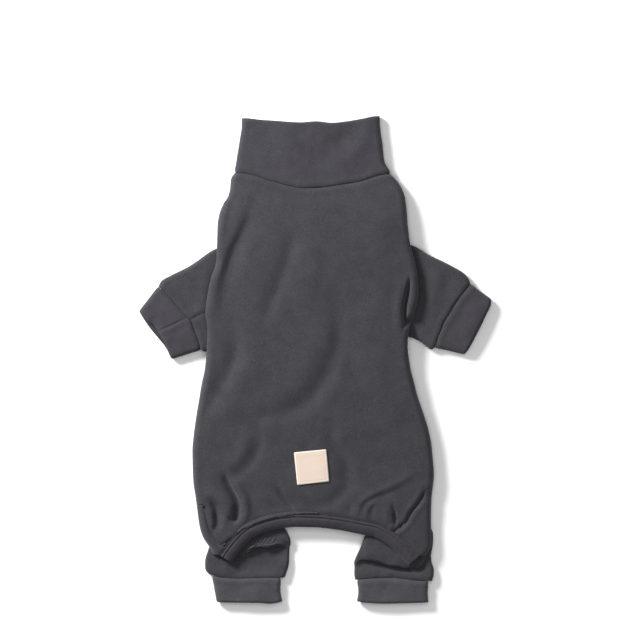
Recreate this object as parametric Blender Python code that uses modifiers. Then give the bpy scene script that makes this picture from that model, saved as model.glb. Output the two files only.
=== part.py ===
"""Dog jumpsuit of fleece, lying flat on its belly with its back up.

Units are metres, +Z is up, +Y points from the tail to the neck and -X is the left of the
garment as it is seen from above. Every panel is a wall of cloth with its own sewn edges:
the back wraps round both sides to a seam under the body, the belly lies flat between
those seams, and sleeves, legs, cuffs and collar are flattened tubes that open into it.
"""
import math

import bmesh
import bpy
from mathutils import Matrix, Vector

# Lengths of the garment, laid flat
BACK_LENGTH = 0.3757
HIP_WIDTH = 0.266
COLLAR_WIDTH = 0.1716
COLLAR_HEIGHT = 0.058
NECK_DIP = 0.0176
COLLAR_DIP = 0.0045
ARMHOLE = 0.1144
SLEEVE_REACH = 0.0891
CUFF_DEPTH = 0.033
LEG_WIDTH = 0.0869
LEG_LENGTH = 0.0305
LEG_CUFF_DEPTH = 0.0275
BAND_WIDTH = 0.0155
LABEL_SIDE = 0.0358
LABEL_TURN = math.radians(5.3)

# Thickness of the cloth and the leather, and the play left at each seam
FLEECE = 0.002
DOUBLE_FLEECE = 0.003
LEATHER = 0.0014
SEAM_GAP = 0.0003

# How high each part stands as it lies, with the air that is left inside
SLEEVE_LIE = 0.009
CUFF_LIE = 0.011
LEG_LIE = 0.010
LEG_CUFF_LIE = 0.011
COLLAR_LIE = 0.013
BODY_ROOM = 0.0067
CROWN = 0.002
SIDE_ROLL = 0.007
BAND_DROP = 0.001
WRINKLE = 0.003

# Places on the garment, as shares of the back length and of half the hip width
ARM_TOP = 0.192
ARM_ACROSS = 0.62
GUSSET_TOP = 0.92
GUSSET_EDGE = 0.003
REAR = 1.105
LABEL_ACROSS = -0.029
LABEL_DOWN = 0.862
NECK_FADE = 0.25
ARMHOLE_MARGIN = 0.013
ARMHOLE_RAMP = 0.014

# How many facets each stretch has
BODY_STEPS = 26
TOP_STEPS = 20
ROLL_STEPS = 6
RETURN_STEPS = 2
GUSSET_STEPS = 6
GUSSET_TOPS = 3
TUBE_STEPS = 4
END_STEPS = 5
FLAT_STEPS = 6
COLLAR_STEPS = 5
COLLAR_FLAT_STEPS = 10
BAND_ACROSS_STEPS = 3
BELLY_STEPS = 12
LABEL_STEPS = 4

HALF_HIP = HIP_WIDTH / 2
HALF_COLLAR = COLLAR_WIDTH / 2
SLEEVE_LIFT = SLEEVE_LIE + SEAM_GAP
CHEST_LEVEL = SLEEVE_LIFT + 2 * FLEECE + BODY_ROOM
HEM_LEVEL = LEG_LIE + 2 * SEAM_GAP + DOUBLE_FLEECE + BAND_DROP
WAIST_LEVEL = (CHEST_LEVEL + HEM_LEVEL) / 2


def table(columns, *rows):
    """A small table: each row as a dictionary under the named columns."""
    names = columns.split()
    return [dict(zip(names, row)) for row in rows]


# Sides of the body seen from above: shares of the back length and of half the hip width
OUTLINE = table(
    "down left right",
    (0.000, 0.691, 0.645),
    (0.040, 0.699, 0.711),
    (0.072, 0.728, 0.744),
    (0.104, 0.777, 0.757),
    (0.139, 0.802, 0.765),
    (0.212, 0.808, 0.794),
    (0.288, 0.837, 0.842),
    (0.359, 0.887, 0.850),
    (0.394, 0.904, 0.831),
    (0.455, 0.887, 0.777),
    (0.534, 0.899, 0.771),
    (0.637, 0.938, 0.834),
    (0.736, 0.992, 0.926),
    (0.830, 1.017, 0.978),
    (0.915, 1.009, 0.976),
    (0.988, 0.974, 0.958),
    (1.059, 0.943, 0.958),
    (1.105, 0.860, 0.961),
)

# Height of the sides of the body above what it lies on
LEVEL = table(
    "down level",
    (0.00, COLLAR_LIE),
    (0.16, CHEST_LEVEL),
    (0.56, CHEST_LEVEL),
    (0.78, WAIST_LEVEL),
    (1.00, HEM_LEVEL),
)

# Seams between the back and the belly, hidden under the body
BELLY_SEAM = table(
    "down left right",
    (0.00, 0.50, 0.46),
    (0.14, 0.60, 0.58),
    (0.58, 0.64, 0.62),
    (0.78, 0.78, 0.75),
    (0.92, 0.80, 0.78),
    (1.105, 0.66, 0.76),
)

# Rear edge of the belly, arched between the two legs
BELLY_REAR = table(
    "across down",
    (-0.36, 1.105),
    (-0.30, 1.045),
    (-0.24, 0.970),
    (0.33, 0.970),
    (0.40, 1.045),
    (0.45, 1.105),
)

# Upper edge of the hem band, from the left corner round to the right corner
HEM = table(
    "across down",
    (-0.789, 1.119),
    (-0.704, 1.084),
    (-0.595, 1.046),
    (-0.462, 1.018),
    (-0.291, 1.003),
    (-0.124, 0.999),
    (0.116, 1.003),
    (0.276, 1.009),
    (0.397, 1.018),
    (0.555, 1.035),
    (0.713, 1.065),
    (0.798, 1.093),
    (0.883, 1.121),
)

# Hip seams of the thigh gussets, from the side roll down to the hem band
GUSSET_SEAM = {
    -1: table("share across down", (0.25, 0.943, 0.982), (0.50, 0.902, 1.017), (0.75, 0.850, 1.062)),
    1: table("share across down", (0.25, 0.865, 0.960), (0.50, 0.790, 0.998), (0.75, 0.733, 1.031)),
}
GUSSET_AT_HEM = {-1: 0.046, 1: 0.825}

# Sleeves: upper and lower edge as shares of the sleeve's reach and of the armhole
SLEEVE = {
    -1: table(
        "top_out top_down low_out low_down height",
        (0.000, 0.000, 0.000, 1.000, 1.00),
        (0.284, 0.096, 0.222, 1.048, 1.00),
        (0.605, 0.250, 0.346, 1.072, 1.00),
        (0.815, 0.351, 0.420, 1.082, 1.10),
        (0.988, 0.462, 0.474, 1.084, 1.20),
    ),
    1: table(
        "top_out top_down low_out low_down height",
        (0.000, -0.020, 0.000, 0.885, 1.00),
        (0.268, 0.077, 0.210, 0.947, 1.00),
        (0.494, 0.192, 0.333, 0.986, 1.00),
        (0.741, 0.284, 0.432, 1.024, 1.10),
        (0.988, 0.428, 0.537, 1.058, 1.20),
    ),
}

# Sleeve cuffs: both edges from the sleeve's last section, as shares of the cuff's depth
CUFF = {
    -1: table(
        "top_out top_down low_out low_down",
        (0.020, 0.020, 0.022, 0.000),
        (0.37, 0.41, 0.50, 0.15),
        (0.70, 0.76, 0.99, 0.27),
    ),
    1: table(
        "top_out top_down low_out low_down",
        (0.020, 0.020, 0.022, 0.000),
        (0.36, 0.30, 0.52, 0.11),
        (0.66, 0.55, 1.01, 0.18),
    ),
}

# Legs: edges as shares of the leg's width inward from its outer line, which is placed
# as a share of half the hip width, and how far down the leg as a share of its length
LEG_OUTER = {-1: 0.869, 1: 0.968}
LEG = {
    -1: table(
        "down outer inner height",
        (0.00, 0.000, 1.000, 1.00),
        (0.35, -0.015, 0.982, 1.00),
        (0.50, -0.018, 0.975, 0.93),
        (0.75, -0.015, 0.945, 0.93),
        (1.00, 0.020, 0.900, 0.96),
    ),
    1: table(
        "down outer inner height",
        (0.00, 0.000, 0.925, 1.00),
        (0.40, -0.004, 0.962, 1.00),
        (0.55, -0.013, 0.964, 0.93),
        (0.75, -0.013, 0.962, 0.93),
        (1.00, 0.013, 0.943, 0.96),
    ),
}

# Where the upper layer of each leg starts, behind the hem band or just under it
LEG_MOUTH = {
    -1: table("inward down", (0.0, 1.120), (0.18, 1.132), (0.36, 1.128), (0.50, 1.098),
              (0.65, 1.066), (0.80, 1.050), (1.0, 1.078)),
    1: table("inward down", (0.0, 1.115), (0.25, 1.115), (0.50, 1.092), (0.75, 1.064),
             (0.92, 1.058), (1.0, 1.080)),
}

LEG_CUFF = {
    -1: table("down outer inner", (0.02, 0.025, 0.895), (0.50, 0.050, 0.888), (1.00, 0.090, 0.905)),
    1: table("down outer inner", (0.02, 0.013, 0.935), (0.50, 0.035, 0.930), (1.00, 0.054, 0.937)),
}

# Collar: edges as shares of half the collar's width, going up from the neck seam
COLLAR = table(
    "up left right",
    (0.00, 1.032, 0.970),
    (0.20, 1.005, 0.905),
    (0.46, 0.980, 0.865),
    (0.75, 0.955, 0.846),
    (0.94, 0.938, 0.830),
    (1.00, 0.925, 0.815),
)

# Folds of the back as it lies: the start, middle and end of each, its width as a share
# of half the hip width and its depth as a share of the wrinkle size, below zero a valley
FOLD = table(
    "name start middle end width depth",
    ("chest_valley", (-0.18, 0.19), (-0.25, 0.30), (-0.38, 0.39), 0.11, -0.55),
    ("left_side_valley", (-0.62, 0.16), (-0.66, 0.25), (-0.70, 0.34), 0.08, -0.60),
    ("waist_valley", (-0.65, 0.45), (-0.69, 0.56), (-0.86, 0.69), 0.11, -0.70),
    ("middle_valley", (0.16, 0.39), (0.18, 0.52), (0.02, 0.63), 0.13, -0.60),
    ("cross_valley", (0.02, 0.63), (-0.12, 0.70), (-0.50, 0.73), 0.12, -0.55),
    ("right_valley", (0.18, 0.47), (0.27, 0.55), (0.34, 0.63), 0.10, -0.40),
    ("right_pocket", (0.76, 0.33), (0.73, 0.41), (0.74, 0.47), 0.08, -0.90),
    ("hip_valley", (-0.45, 0.76), (-0.47, 0.84), (-0.65, 0.90), 0.09, -0.60),
    ("left_hip_crease", (-0.74, 0.89), (-0.64, 0.95), (-0.63, 1.00), 0.07, -0.90),
    ("left_hip_ridge", (-0.86, 0.86), (-0.80, 0.93), (-0.76, 1.00), 0.08, 0.50),
    ("right_hip_ridge", (0.90, 0.89), (0.56, 0.94), (0.38, 0.98), 0.08, 0.60),
    ("right_hip_crease", (0.66, 0.95), (0.66, 0.98), (0.66, 1.02), 0.06, -0.70),
)

# Colour, roughness and sheen-free metal value of each cloth
FINISH = {
    "fleece": ((0.072, 0.070, 0.082), 0.95),
    "cuff_fleece": ((0.080, 0.078, 0.089), 0.95),
    "band_fleece": ((0.060, 0.056, 0.065), 0.90),
    "leather": ((0.80, 0.67, 0.57), 0.55),
}
COLLECTION = "dog_jumpsuit"


def interpolate(rows, key, column, at):
    """Smooth curve through one column, with no swing past its rows and flat past its ends."""
    keys = [row[key] for row in rows]
    values = [row[column] for row in rows]
    if at <= keys[0]:
        return values[0]
    if at >= keys[-1]:
        return values[-1]
    slopes = [(values[i + 1] - values[i]) / (keys[i + 1] - keys[i]) for i in range(len(keys) - 1)]
    tangents = [slopes[0]]
    for before, after in zip(slopes, slopes[1:]):
        level_off = before * after <= 0
        tangents.append(0.0 if level_off else 2 * before * after / (before + after))
    tangents.append(slopes[-1])
    i = max(k for k in range(len(keys) - 1) if keys[k] <= at)
    span = keys[i + 1] - keys[i]
    t = (at - keys[i]) / span
    rise = values[i + 1] - values[i]
    ease = t * t * (3 - 2 * t)
    start = (t - 2 * t * t + t ** 3) * span * tangents[i]
    end = (t ** 3 - t * t) * span * tangents[i + 1]
    return values[i] + rise * ease + start + end


def blend(a, b, t):
    return a + (b - a) * t


def eased(t):
    t = min(1.0, max(0.0, t))
    return t * t * (3 - 2 * t)


def plan(across, down):
    """A point of the garment from above, x and y, out of the two shares."""
    return Vector((across * HALF_HIP, -down * BACK_LENGTH))


def side_name(side):
    return "left" if side < 0 else "right"


def along_armhole(down):
    """1 beside the armholes, 0 well above and below them."""
    y = down * BACK_LENGTH
    top = ARM_TOP * BACK_LENGTH - ARMHOLE_MARGIN
    low = ARM_TOP * BACK_LENGTH + ARMHOLE * SLEEVE[-1][-1]["low_down"] + ARMHOLE_MARGIN
    return eased((y - top) / ARMHOLE_RAMP + 1) * eased((low - y) / ARMHOLE_RAMP + 1)


def body_edge(side, down):
    """How far out the side of the body reaches."""
    return side * HALF_HIP * interpolate(OUTLINE, "down", side_name(side), down)


def seam_under(side, down):
    """Where the back meets the belly, or the mouth of the sleeve beside an armhole."""
    plain = interpolate(BELLY_SEAM, "down", side_name(side), down)
    return side * HALF_HIP * blend(plain, ARM_ACROSS, along_armhole(down))


def neck_dip(x, down):
    """How far the neck seam dips below its two ends, fading out down the back."""
    left = -HALF_COLLAR * COLLAR[0]["left"]
    right = HALF_COLLAR * COLLAR[0]["right"]
    share = (2 * x - left - right) / (right - left)
    return NECK_DIP * max(0.0, 1 - share * share) * max(0.0, 1 - down / NECK_FADE)


def fold_height(x, y):
    """Valleys and ridges of the back at a point, from the table of folds."""
    total = 0.0
    for fold in FOLD:
        points = [plan(*fold[key]) for key in ("start", "middle", "end")]
        nearest = min(
            (line_distance(Vector((x, y)), points[i], points[i + 1]) for i in (0, 1)))
        reach = nearest / (fold["width"] * HALF_HIP)
        total += fold["depth"] * WRINKLE * math.exp(-reach * reach)
    return total


def line_distance(point, a, b):
    along = b - a
    share = min(1.0, max(0.0, (point - a).dot(along) / along.length_squared))
    return (point - a - along * share).length


def body_top(x, y):
    """Height of the outside of the back at a point seen from above."""
    down = -y / BACK_LENGTH
    left = body_edge(-1, down) + SIDE_ROLL
    right = body_edge(1, down) - SIDE_ROLL
    share = min(1.0, max(-1.0, (2 * x - left - right) / (right - left)))
    return interpolate(LEVEL, "down", "level", down) + CROWN * (1 - share * share) + fold_height(x, y)


def roll_top(side, down):
    """Point where the flat of the back starts to roll round the side."""
    x = body_edge(side, down) - side * SIDE_ROLL
    return Vector((x, -down * BACK_LENGTH))


def side_wrap(side, down, shift=0.0):
    """From the top of the side roll, round the side and under it to the hidden seam."""
    top = roll_top(side, down)
    y = top.y - shift
    z_top = body_top(top.x, y)
    z_low = SLEEVE_LIFT * along_armhole(down)
    points = []
    for k in range(ROLL_STEPS + 1):
        turn = math.pi * k / ROLL_STEPS
        x = top.x + side * SIDE_ROLL * math.sin(turn)
        points.append(Vector((x, y, z_low + (z_top - z_low) * (1 + math.cos(turn)) / 2)))
    seam = seam_under(side, down) + side * SEAM_GAP
    for k in range(1, RETURN_STEPS + 1):
        points.append(Vector((blend(top.x, seam, k / RETURN_STEPS), y, z_low)))
    for point in points:
        point.y -= neck_dip(point.x, down)
    return points


def hem_point(share):
    """A point on the upper edge of the hem band, seen from above."""
    rows = [dict(row, at=i / (len(HEM) - 1)) for i, row in enumerate(HEM)]
    across = interpolate(rows, "at", "across", share)
    down = interpolate(rows, "at", "down", share)
    return plan(across, down)


def gusset_seam(side, share):
    """A point on the hip seam: it starts on the side roll and ends at the hem band."""
    start = roll_top(side, GUSSET_TOP)
    end = hem_point(GUSSET_AT_HEM[side])
    rows = [dict(share=0.0, x=start.x, y=start.y)]
    for row in GUSSET_SEAM[side]:
        point = plan(side * row["across"], row["down"])
        limit = side * roll_top(side, row["down"]).x - GUSSET_EDGE
        point.x = side * min(side * point.x, limit)
        rows.append(dict(share=row["share"], x=point.x, y=point.y))
    rows.append(dict(share=1.0, x=end.x, y=end.y))
    return Vector((interpolate(rows, "share", "x", share), interpolate(rows, "share", "y", share)))


def on_back(point):
    return Vector((point.x, point.y, body_top(point.x, point.y)))


def cloth(name, rows, wall, finish, ring=False):
    """A wall of cloth through rows of points on its outer side; gaps in a row are None."""
    mesh = bpy.data.meshes.new(name)
    shape = bmesh.new()
    grid = [[None if point is None else shape.verts.new(point) for point in row] for row in rows]
    width = len(grid[0])
    for upper, lower in zip(grid, grid[1:]):
        for j in range(width if ring else width - 1):
            corners = (upper[j], upper[(j + 1) % width], lower[(j + 1) % width], lower[j])
            if None not in corners:
                shape.faces.new(corners)
    bmesh.ops.remove_doubles(shape, verts=shape.verts, dist=SEAM_GAP / 10)
    bmesh.ops.recalc_face_normals(shape, faces=shape.faces)
    highest = max(shape.faces, key=lambda face: face.calc_center_median().z)
    if highest.normal.z < 0:
        bmesh.ops.reverse_faces(shape, faces=shape.faces)
    shape.to_mesh(mesh)
    shape.free()
    mesh.shade_smooth()
    piece = bpy.data.objects.new(name, mesh)
    mesh.materials.append(material(name, finish))
    thickness = piece.modifiers.new("wall", "SOLIDIFY")
    thickness.thickness = wall
    thickness.offset = -1
    thickness.use_even_offset = True
    bpy.data.collections[COLLECTION].objects.link(piece)
    return piece


def material(name, finish):
    colour, roughness = FINISH[finish]
    made = bpy.data.materials.new(name + "_" + finish)
    made.use_nodes = True
    shader = made.node_tree.nodes["Principled BSDF"]
    shader.inputs["Base Color"].default_value = (*colour, 1.0)
    shader.inputs["Roughness"].default_value = roughness
    shader.inputs["Metallic"].default_value = 0.0
    return made


def flat_ring(a, b, height, flat_steps=FLAT_STEPS, crown=0.0):
    """Section of a flattened tube from edge a to edge b: flat below, round at both ends."""
    length = (b - a).length
    radius = height / 2
    ring = []
    for k in range(flat_steps):
        ring.append((radius + (length - height) * k / flat_steps, 0.0))
    for k in range(END_STEPS):
        turn = math.pi * k / END_STEPS
        ring.append((length - radius + radius * math.sin(turn), radius - radius * math.cos(turn)))
    for k in range(flat_steps):
        share = k / flat_steps
        lift = crown * (1 - (2 * share - 1) ** 2)
        ring.append((length - radius - (length - height) * share, height + lift))
    for k in range(END_STEPS):
        turn = math.pi * k / END_STEPS
        ring.append((radius - radius * math.sin(turn), radius + radius * math.cos(turn)))
    points = []
    for along, z in ring:
        place = a + (b - a) * (along / length)
        points.append(Vector((place.x, place.y, z)))
    return points


def back_panel():
    """One panel from the neck seam to the hem, wrapped round both sides above the gussets."""
    rows = []
    for i in range(BODY_STEPS + 1):
        down = GUSSET_TOP * i / BODY_STEPS
        left = side_wrap(-1, down)
        right = side_wrap(1, down)
        middle = []
        for j in range(1, TOP_STEPS):
            x = blend(left[0].x, right[0].x, j / TOP_STEPS)
            middle.append(on_back(Vector((x, -down * BACK_LENGTH - neck_dip(x, down)))))
        rows.append(left[::-1] + middle + right)
    wrapped = ROLL_STEPS + RETURN_STEPS
    last_full = rows[-1][wrapped:wrapped + TOP_STEPS + 1]
    for i in range(1, GUSSET_STEPS + 1):
        share = i / GUSSET_STEPS
        row = [None] * wrapped
        for j in range(TOP_STEPS + 1):
            at = j / TOP_STEPS
            row.append(on_back(hip_point(last_full, at, share)))
        rows.append(row + [None] * wrapped)
    return cloth("back_panel", rows, FLEECE, "fleece")


def hip_point(first_row, at, share):
    """A point between the last full section and the hem, held by the two hip seams."""
    start = first_row[round(at * TOP_STEPS)].to_2d()
    end = hem_point(blend(GUSSET_AT_HEM[-1], GUSSET_AT_HEM[1], at))
    point = start.lerp(end, share)
    for side, weight in ((-1, 1 - at), (1, at)):
        corner = first_row[0 if side < 0 else TOP_STEPS].to_2d()
        straight = corner.lerp(hem_point(GUSSET_AT_HEM[side]), share)
        seam = gusset_seam(side, share)
        seam.x -= side * 3 * SEAM_GAP
        point += (seam - straight) * weight
    return point


def thigh(side):
    """Gusset between the hip seam and the hidden seam, round the side of the hip."""
    name = "thigh_" + side_name(side)
    corner = 0.0 if side < 0 else 1.0
    rows = []
    for i in range(GUSSET_STEPS + 1):
        share = i / GUSSET_STEPS
        down = blend(GUSSET_TOP, REAR, share)
        wrap = side_wrap(side, down, 3 * SEAM_GAP * (1 - share))
        seam = gusset_seam(side, share)
        row = []
        for j in range(GUSSET_TOPS):
            at = j / GUSSET_TOPS
            point = seam.lerp(wrap[0].to_2d(), at)
            rear = hem_point(blend(GUSSET_AT_HEM[side], corner, at))
            straight = gusset_seam(side, 1.0).lerp(roll_top(side, REAR), at)
            point += (rear - straight) * share
            point.y += 2 * SEAM_GAP * share
            row.append(wrap[0].copy() if i == 0 else on_back(point))
        rows.append(row + wrap)
    return cloth(name, rows, FLEECE, "fleece")


def belly_rear(across):
    return interpolate(BELLY_REAR, "across", "down", across)


def belly_panel():
    """Flat strip that the garment lies on, between the two hidden seams."""
    stations = [(GUSSET_TOP * i / BODY_STEPS, 0.0) for i in range(BODY_STEPS + 1)]
    stations += [(GUSSET_TOP, i / GUSSET_STEPS) for i in range(1, GUSSET_STEPS + 1)]
    rows = []
    for start, share in stations:
        row = []
        for j in range(BELLY_STEPS + 1):
            at = j / BELLY_STEPS
            rear = belly_rear(blend(-BELLY_SEAM[-1]["left"], BELLY_SEAM[-1]["right"], at))
            down = blend(start, rear, share)
            left = seam_under(-1, down) + SEAM_GAP
            right = seam_under(1, down) - SEAM_GAP
            x = blend(left, right, at)
            row.append(Vector((x, -down * BACK_LENGTH - neck_dip(x, down), FLEECE)))
        rows.append(row)
    return cloth("belly_panel", rows, FLEECE, "fleece")


def hem_band():
    """Doubled band on the rear edge of the back, over the tail."""
    left, right = GUSSET_AT_HEM[-1], GUSSET_AT_HEM[1]
    shares = [left * i / GUSSET_TOPS for i in range(GUSSET_TOPS)]
    shares += [blend(left, right, i / TOP_STEPS) for i in range(TOP_STEPS + 1)]
    shares += [blend(right, 1.0, i / GUSSET_TOPS) for i in range(1, GUSSET_TOPS + 1)]
    rows = []
    for share in shares:
        upper = hem_point(share)
        step = 0.02
        run = hem_point(min(1.0, share + step)) - hem_point(max(0.0, share - step))
        across = Vector((run.y, -run.x)).normalized()
        row = []
        for k in range(BAND_ACROSS_STEPS + 1):
            width = blend(3 * SEAM_GAP, BAND_WIDTH, k / BAND_ACROSS_STEPS)
            point = upper + across * width
            drop = BAND_DROP * (k / BAND_ACROSS_STEPS) ** 2
            row.append(Vector((point.x, point.y, body_top(point.x, point.y) - drop)))
        rows.append(row)
    return cloth("hem_band", rows, DOUBLE_FLEECE, "band_fleece")


def collar():
    """High collar, a doubled tube lying flat above the neck seam."""
    rows = []
    for i in range(COLLAR_STEPS + 1):
        up = i / COLLAR_STEPS
        left = -HALF_COLLAR * interpolate(COLLAR, "up", "left", up)
        right = HALF_COLLAR * interpolate(COLLAR, "up", "right", up)
        ring = flat_ring(Vector((left, 0)), Vector((right, 0)), COLLAR_LIE, COLLAR_FLAT_STEPS, CROWN)
        for point in ring:
            share = (2 * point.x - left - right) / (right - left)
            top_dip = COLLAR_DIP * (1 - share * share)
            point.y = SEAM_GAP + blend(-neck_dip(point.x, 0.0), COLLAR_HEIGHT - top_dip, up)
        rows.append(ring)
    return cloth("collar", rows, DOUBLE_FLEECE, "cuff_fleece", ring=True)


def sleeve_edges(side, share):
    """Upper and lower edge of a sleeve and its height at a share of its length."""
    rows = [dict(row, at=i / (len(SLEEVE[side]) - 1)) for i, row in enumerate(SLEEVE[side])]
    value = {key: interpolate(rows, "at", key, share) for key in SLEEVE[side][0]}
    root = plan(side * ARM_ACROSS, ARM_TOP) + Vector((side * 3 * SEAM_GAP, 0))
    upper = root + Vector((side * value["top_out"] * SLEEVE_REACH, -value["top_down"] * ARMHOLE))
    lower = root + Vector((side * value["low_out"] * SLEEVE_REACH, -value["low_down"] * ARMHOLE))
    return upper, lower, value["height"] * SLEEVE_LIE


def sleeve(side):
    """Flattened tube from the armhole under the side of the body out to the cuff."""
    rows = []
    for i in range(2 * TUBE_STEPS + 1):
        upper, lower, height = sleeve_edges(side, i / (2 * TUBE_STEPS))
        rows.append(flat_ring(upper, lower, height))
    return cloth("sleeve_" + side_name(side), rows, FLEECE, "fleece", ring=True)


def sleeve_cuff(side):
    """Doubled cuff at the end of a sleeve, open at its far end."""
    upper, lower, _ = sleeve_edges(side, 1.0)
    rows = []
    for row in CUFF[side]:
        top = upper + Vector((side * row["top_out"], -row["top_down"])) * CUFF_DEPTH
        low = lower + Vector((side * row["low_out"], -row["low_down"])) * CUFF_DEPTH
        rows.append(flat_ring(top, low, CUFF_LIE))
    return cloth("sleeve_cuff_" + side_name(side), rows, DOUBLE_FLEECE, "cuff_fleece", ring=True)


def leg_ring(side, outer, inner, y, height):
    """Section across a leg, straight across the garment."""
    line = LEG_OUTER[side] * HALF_HIP
    edge = Vector((side * (line - outer * LEG_WIDTH), y))
    far = Vector((side * (line - inner * LEG_WIDTH), y))
    return flat_ring(edge, far, height)


def leg(side):
    """Short tube from the rear of the body to the leg's cuff, its upper layer cut back."""
    rear = -REAR * BACK_LENGTH - 2 * SEAM_GAP
    rows = []
    for i in range(TUBE_STEPS + 1):
        share = i / TUBE_STEPS
        value = {key: interpolate(LEG[side], "down", key, share) for key in LEG[side][0]}
        y = rear - share * LEG_LENGTH
        ring = leg_ring(side, value["outer"], value["inner"], y, value["height"] * LEG_LIE)
        for point in ring:
            inward = LEG_OUTER[side] * HALF_HIP - side * point.x
            start = -BACK_LENGTH * interpolate(LEG_MOUTH[side], "inward", "down", inward / LEG_WIDTH)
            layer = eased(2 * point.z / LEG_LIE - 1)
            point.y += (start - rear) * layer * (1 - share)
        rows.append(ring)
    return cloth("leg_" + side_name(side), rows, FLEECE, "fleece", ring=True)


def leg_cuff(side):
    """Doubled cuff at the end of a leg, open at its far end."""
    top = -REAR * BACK_LENGTH - 2 * SEAM_GAP - LEG_LENGTH
    rows = []
    for row in LEG_CUFF[side]:
        y = top - row["down"] * LEG_CUFF_DEPTH
        rows.append(leg_ring(side, row["outer"], row["inner"], y, LEG_CUFF_LIE))
    return cloth("leg_cuff_" + side_name(side), rows, DOUBLE_FLEECE, "cuff_fleece", ring=True)


def label_patch():
    """Square of leather sewn to the lower back, following the cloth under it."""
    centre = plan(LABEL_ACROSS, LABEL_DOWN)
    turn = Matrix.Rotation(LABEL_TURN, 2)
    rows = []
    for i in range(LABEL_STEPS + 1):
        row = []
        for j in range(LABEL_STEPS + 1):
            offset = Vector((j / LABEL_STEPS - 0.5, 0.5 - i / LABEL_STEPS)) * LABEL_SIDE
            point = centre + turn @ offset
            top = body_top(point.x, point.y) + SEAM_GAP + LEATHER
            row.append(Vector((point.x, point.y, top)))
        rows.append(row)
    return cloth("label_patch", rows, LEATHER, "leather")


def centre_on_footprint(pieces):
    """Put the datum under the middle of what the garment covers."""
    corners = [vertex.co for piece in pieces for vertex in piece.data.vertices]
    datum = bpy.data.objects.new("garment_datum", None)
    bpy.data.collections[COLLECTION].objects.link(datum)
    middle_x = (min(c.x for c in corners) + max(c.x for c in corners)) / 2
    middle_y = (min(c.y for c in corners) + max(c.y for c in corners)) / 2
    datum.location = (-middle_x, -middle_y, 0.0)
    for piece in pieces:
        piece.parent = datum


def build():
    for thing in list(bpy.data.objects):
        bpy.data.objects.remove(thing, do_unlink=True)
    bpy.context.scene.collection.children.link(bpy.data.collections.new(COLLECTION))
    pieces = [back_panel(), belly_panel(), hem_band(), collar(), label_patch()]
    for side in (-1, 1):
        pieces += [thigh(side), sleeve(side), sleeve_cuff(side), leg(side), leg_cuff(side)]
    centre_on_footprint(pieces)


build()
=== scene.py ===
"""Dog jumpsuit of brushed fleece, lying flat on its belly with its back up, in the frame of
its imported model: metres, +Z up, +Y from the tail to the neck, seen from straight above."""
import math

import bmesh
import bpy
import numpy as np
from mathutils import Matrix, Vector, noise


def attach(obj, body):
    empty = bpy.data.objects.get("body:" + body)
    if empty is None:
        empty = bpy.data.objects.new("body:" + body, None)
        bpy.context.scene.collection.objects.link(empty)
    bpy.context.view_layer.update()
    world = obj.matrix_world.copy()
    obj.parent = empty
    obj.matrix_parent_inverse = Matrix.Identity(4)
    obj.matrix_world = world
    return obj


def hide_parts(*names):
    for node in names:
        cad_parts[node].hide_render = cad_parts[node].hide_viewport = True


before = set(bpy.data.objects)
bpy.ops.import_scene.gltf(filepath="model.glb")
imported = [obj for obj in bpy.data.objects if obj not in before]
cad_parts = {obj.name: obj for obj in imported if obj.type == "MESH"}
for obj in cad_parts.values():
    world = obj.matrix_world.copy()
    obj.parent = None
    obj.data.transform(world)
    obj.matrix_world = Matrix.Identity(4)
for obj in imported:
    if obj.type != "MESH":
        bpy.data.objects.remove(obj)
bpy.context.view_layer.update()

# Back panel: one piece of dark grey brushed fleece from the neck seam to the hem band,
# wrapped round both sides to hidden seams under the body. The folds are slack cloth that
# has slumped as it lies.
MM = 0.001
FLEECE = 0.002
SIDE_ROLL = 0.007
SLEEVE_LIFT = 0.0093
CROWN = 0.002
NECK_FADE = 0.30
ARM_ACROSS = 0.0825
ROLL_STEPS = 14
RETURN_STEPS = 5
BACK_ACROSS = 156
BACK_ROWS = 170
EDGE_CROWDING = 0.5
HIP_ROWS = 34
SEAM_DEPTH = 0.0012
TURN_IN = 0.0018
SEAM_REACH = 0.0016
SEAM_PLAY = 0.0006
HELD_SHARE = 0.7
HELD_REACH = 0.0045
ARMHOLE_TOP = 0.149
ARMHOLE_FOOT = -0.001
ARMHOLE_RAMP = 0.014
HIP_SEAM_FADE = 0.009
HEM_DEPTH = 0.5
HEM_POINTS = 400
LEFT, RIGHT = -1, 1
HIP_SEAM_DEPTH = {LEFT: 1.2, RIGHT: 2.0}

# Unevenness of loose cloth: how wide its swells are, how high, and where its noise is read
SLUMP = (0.050, 0.0012, 3.0)
FINE_SLUMP = (0.020, 0.0003, 8.0)


def mm(*rows):
    """Rows written in millimetres, as metres."""
    return np.array(rows, dtype=float) * MM


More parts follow.
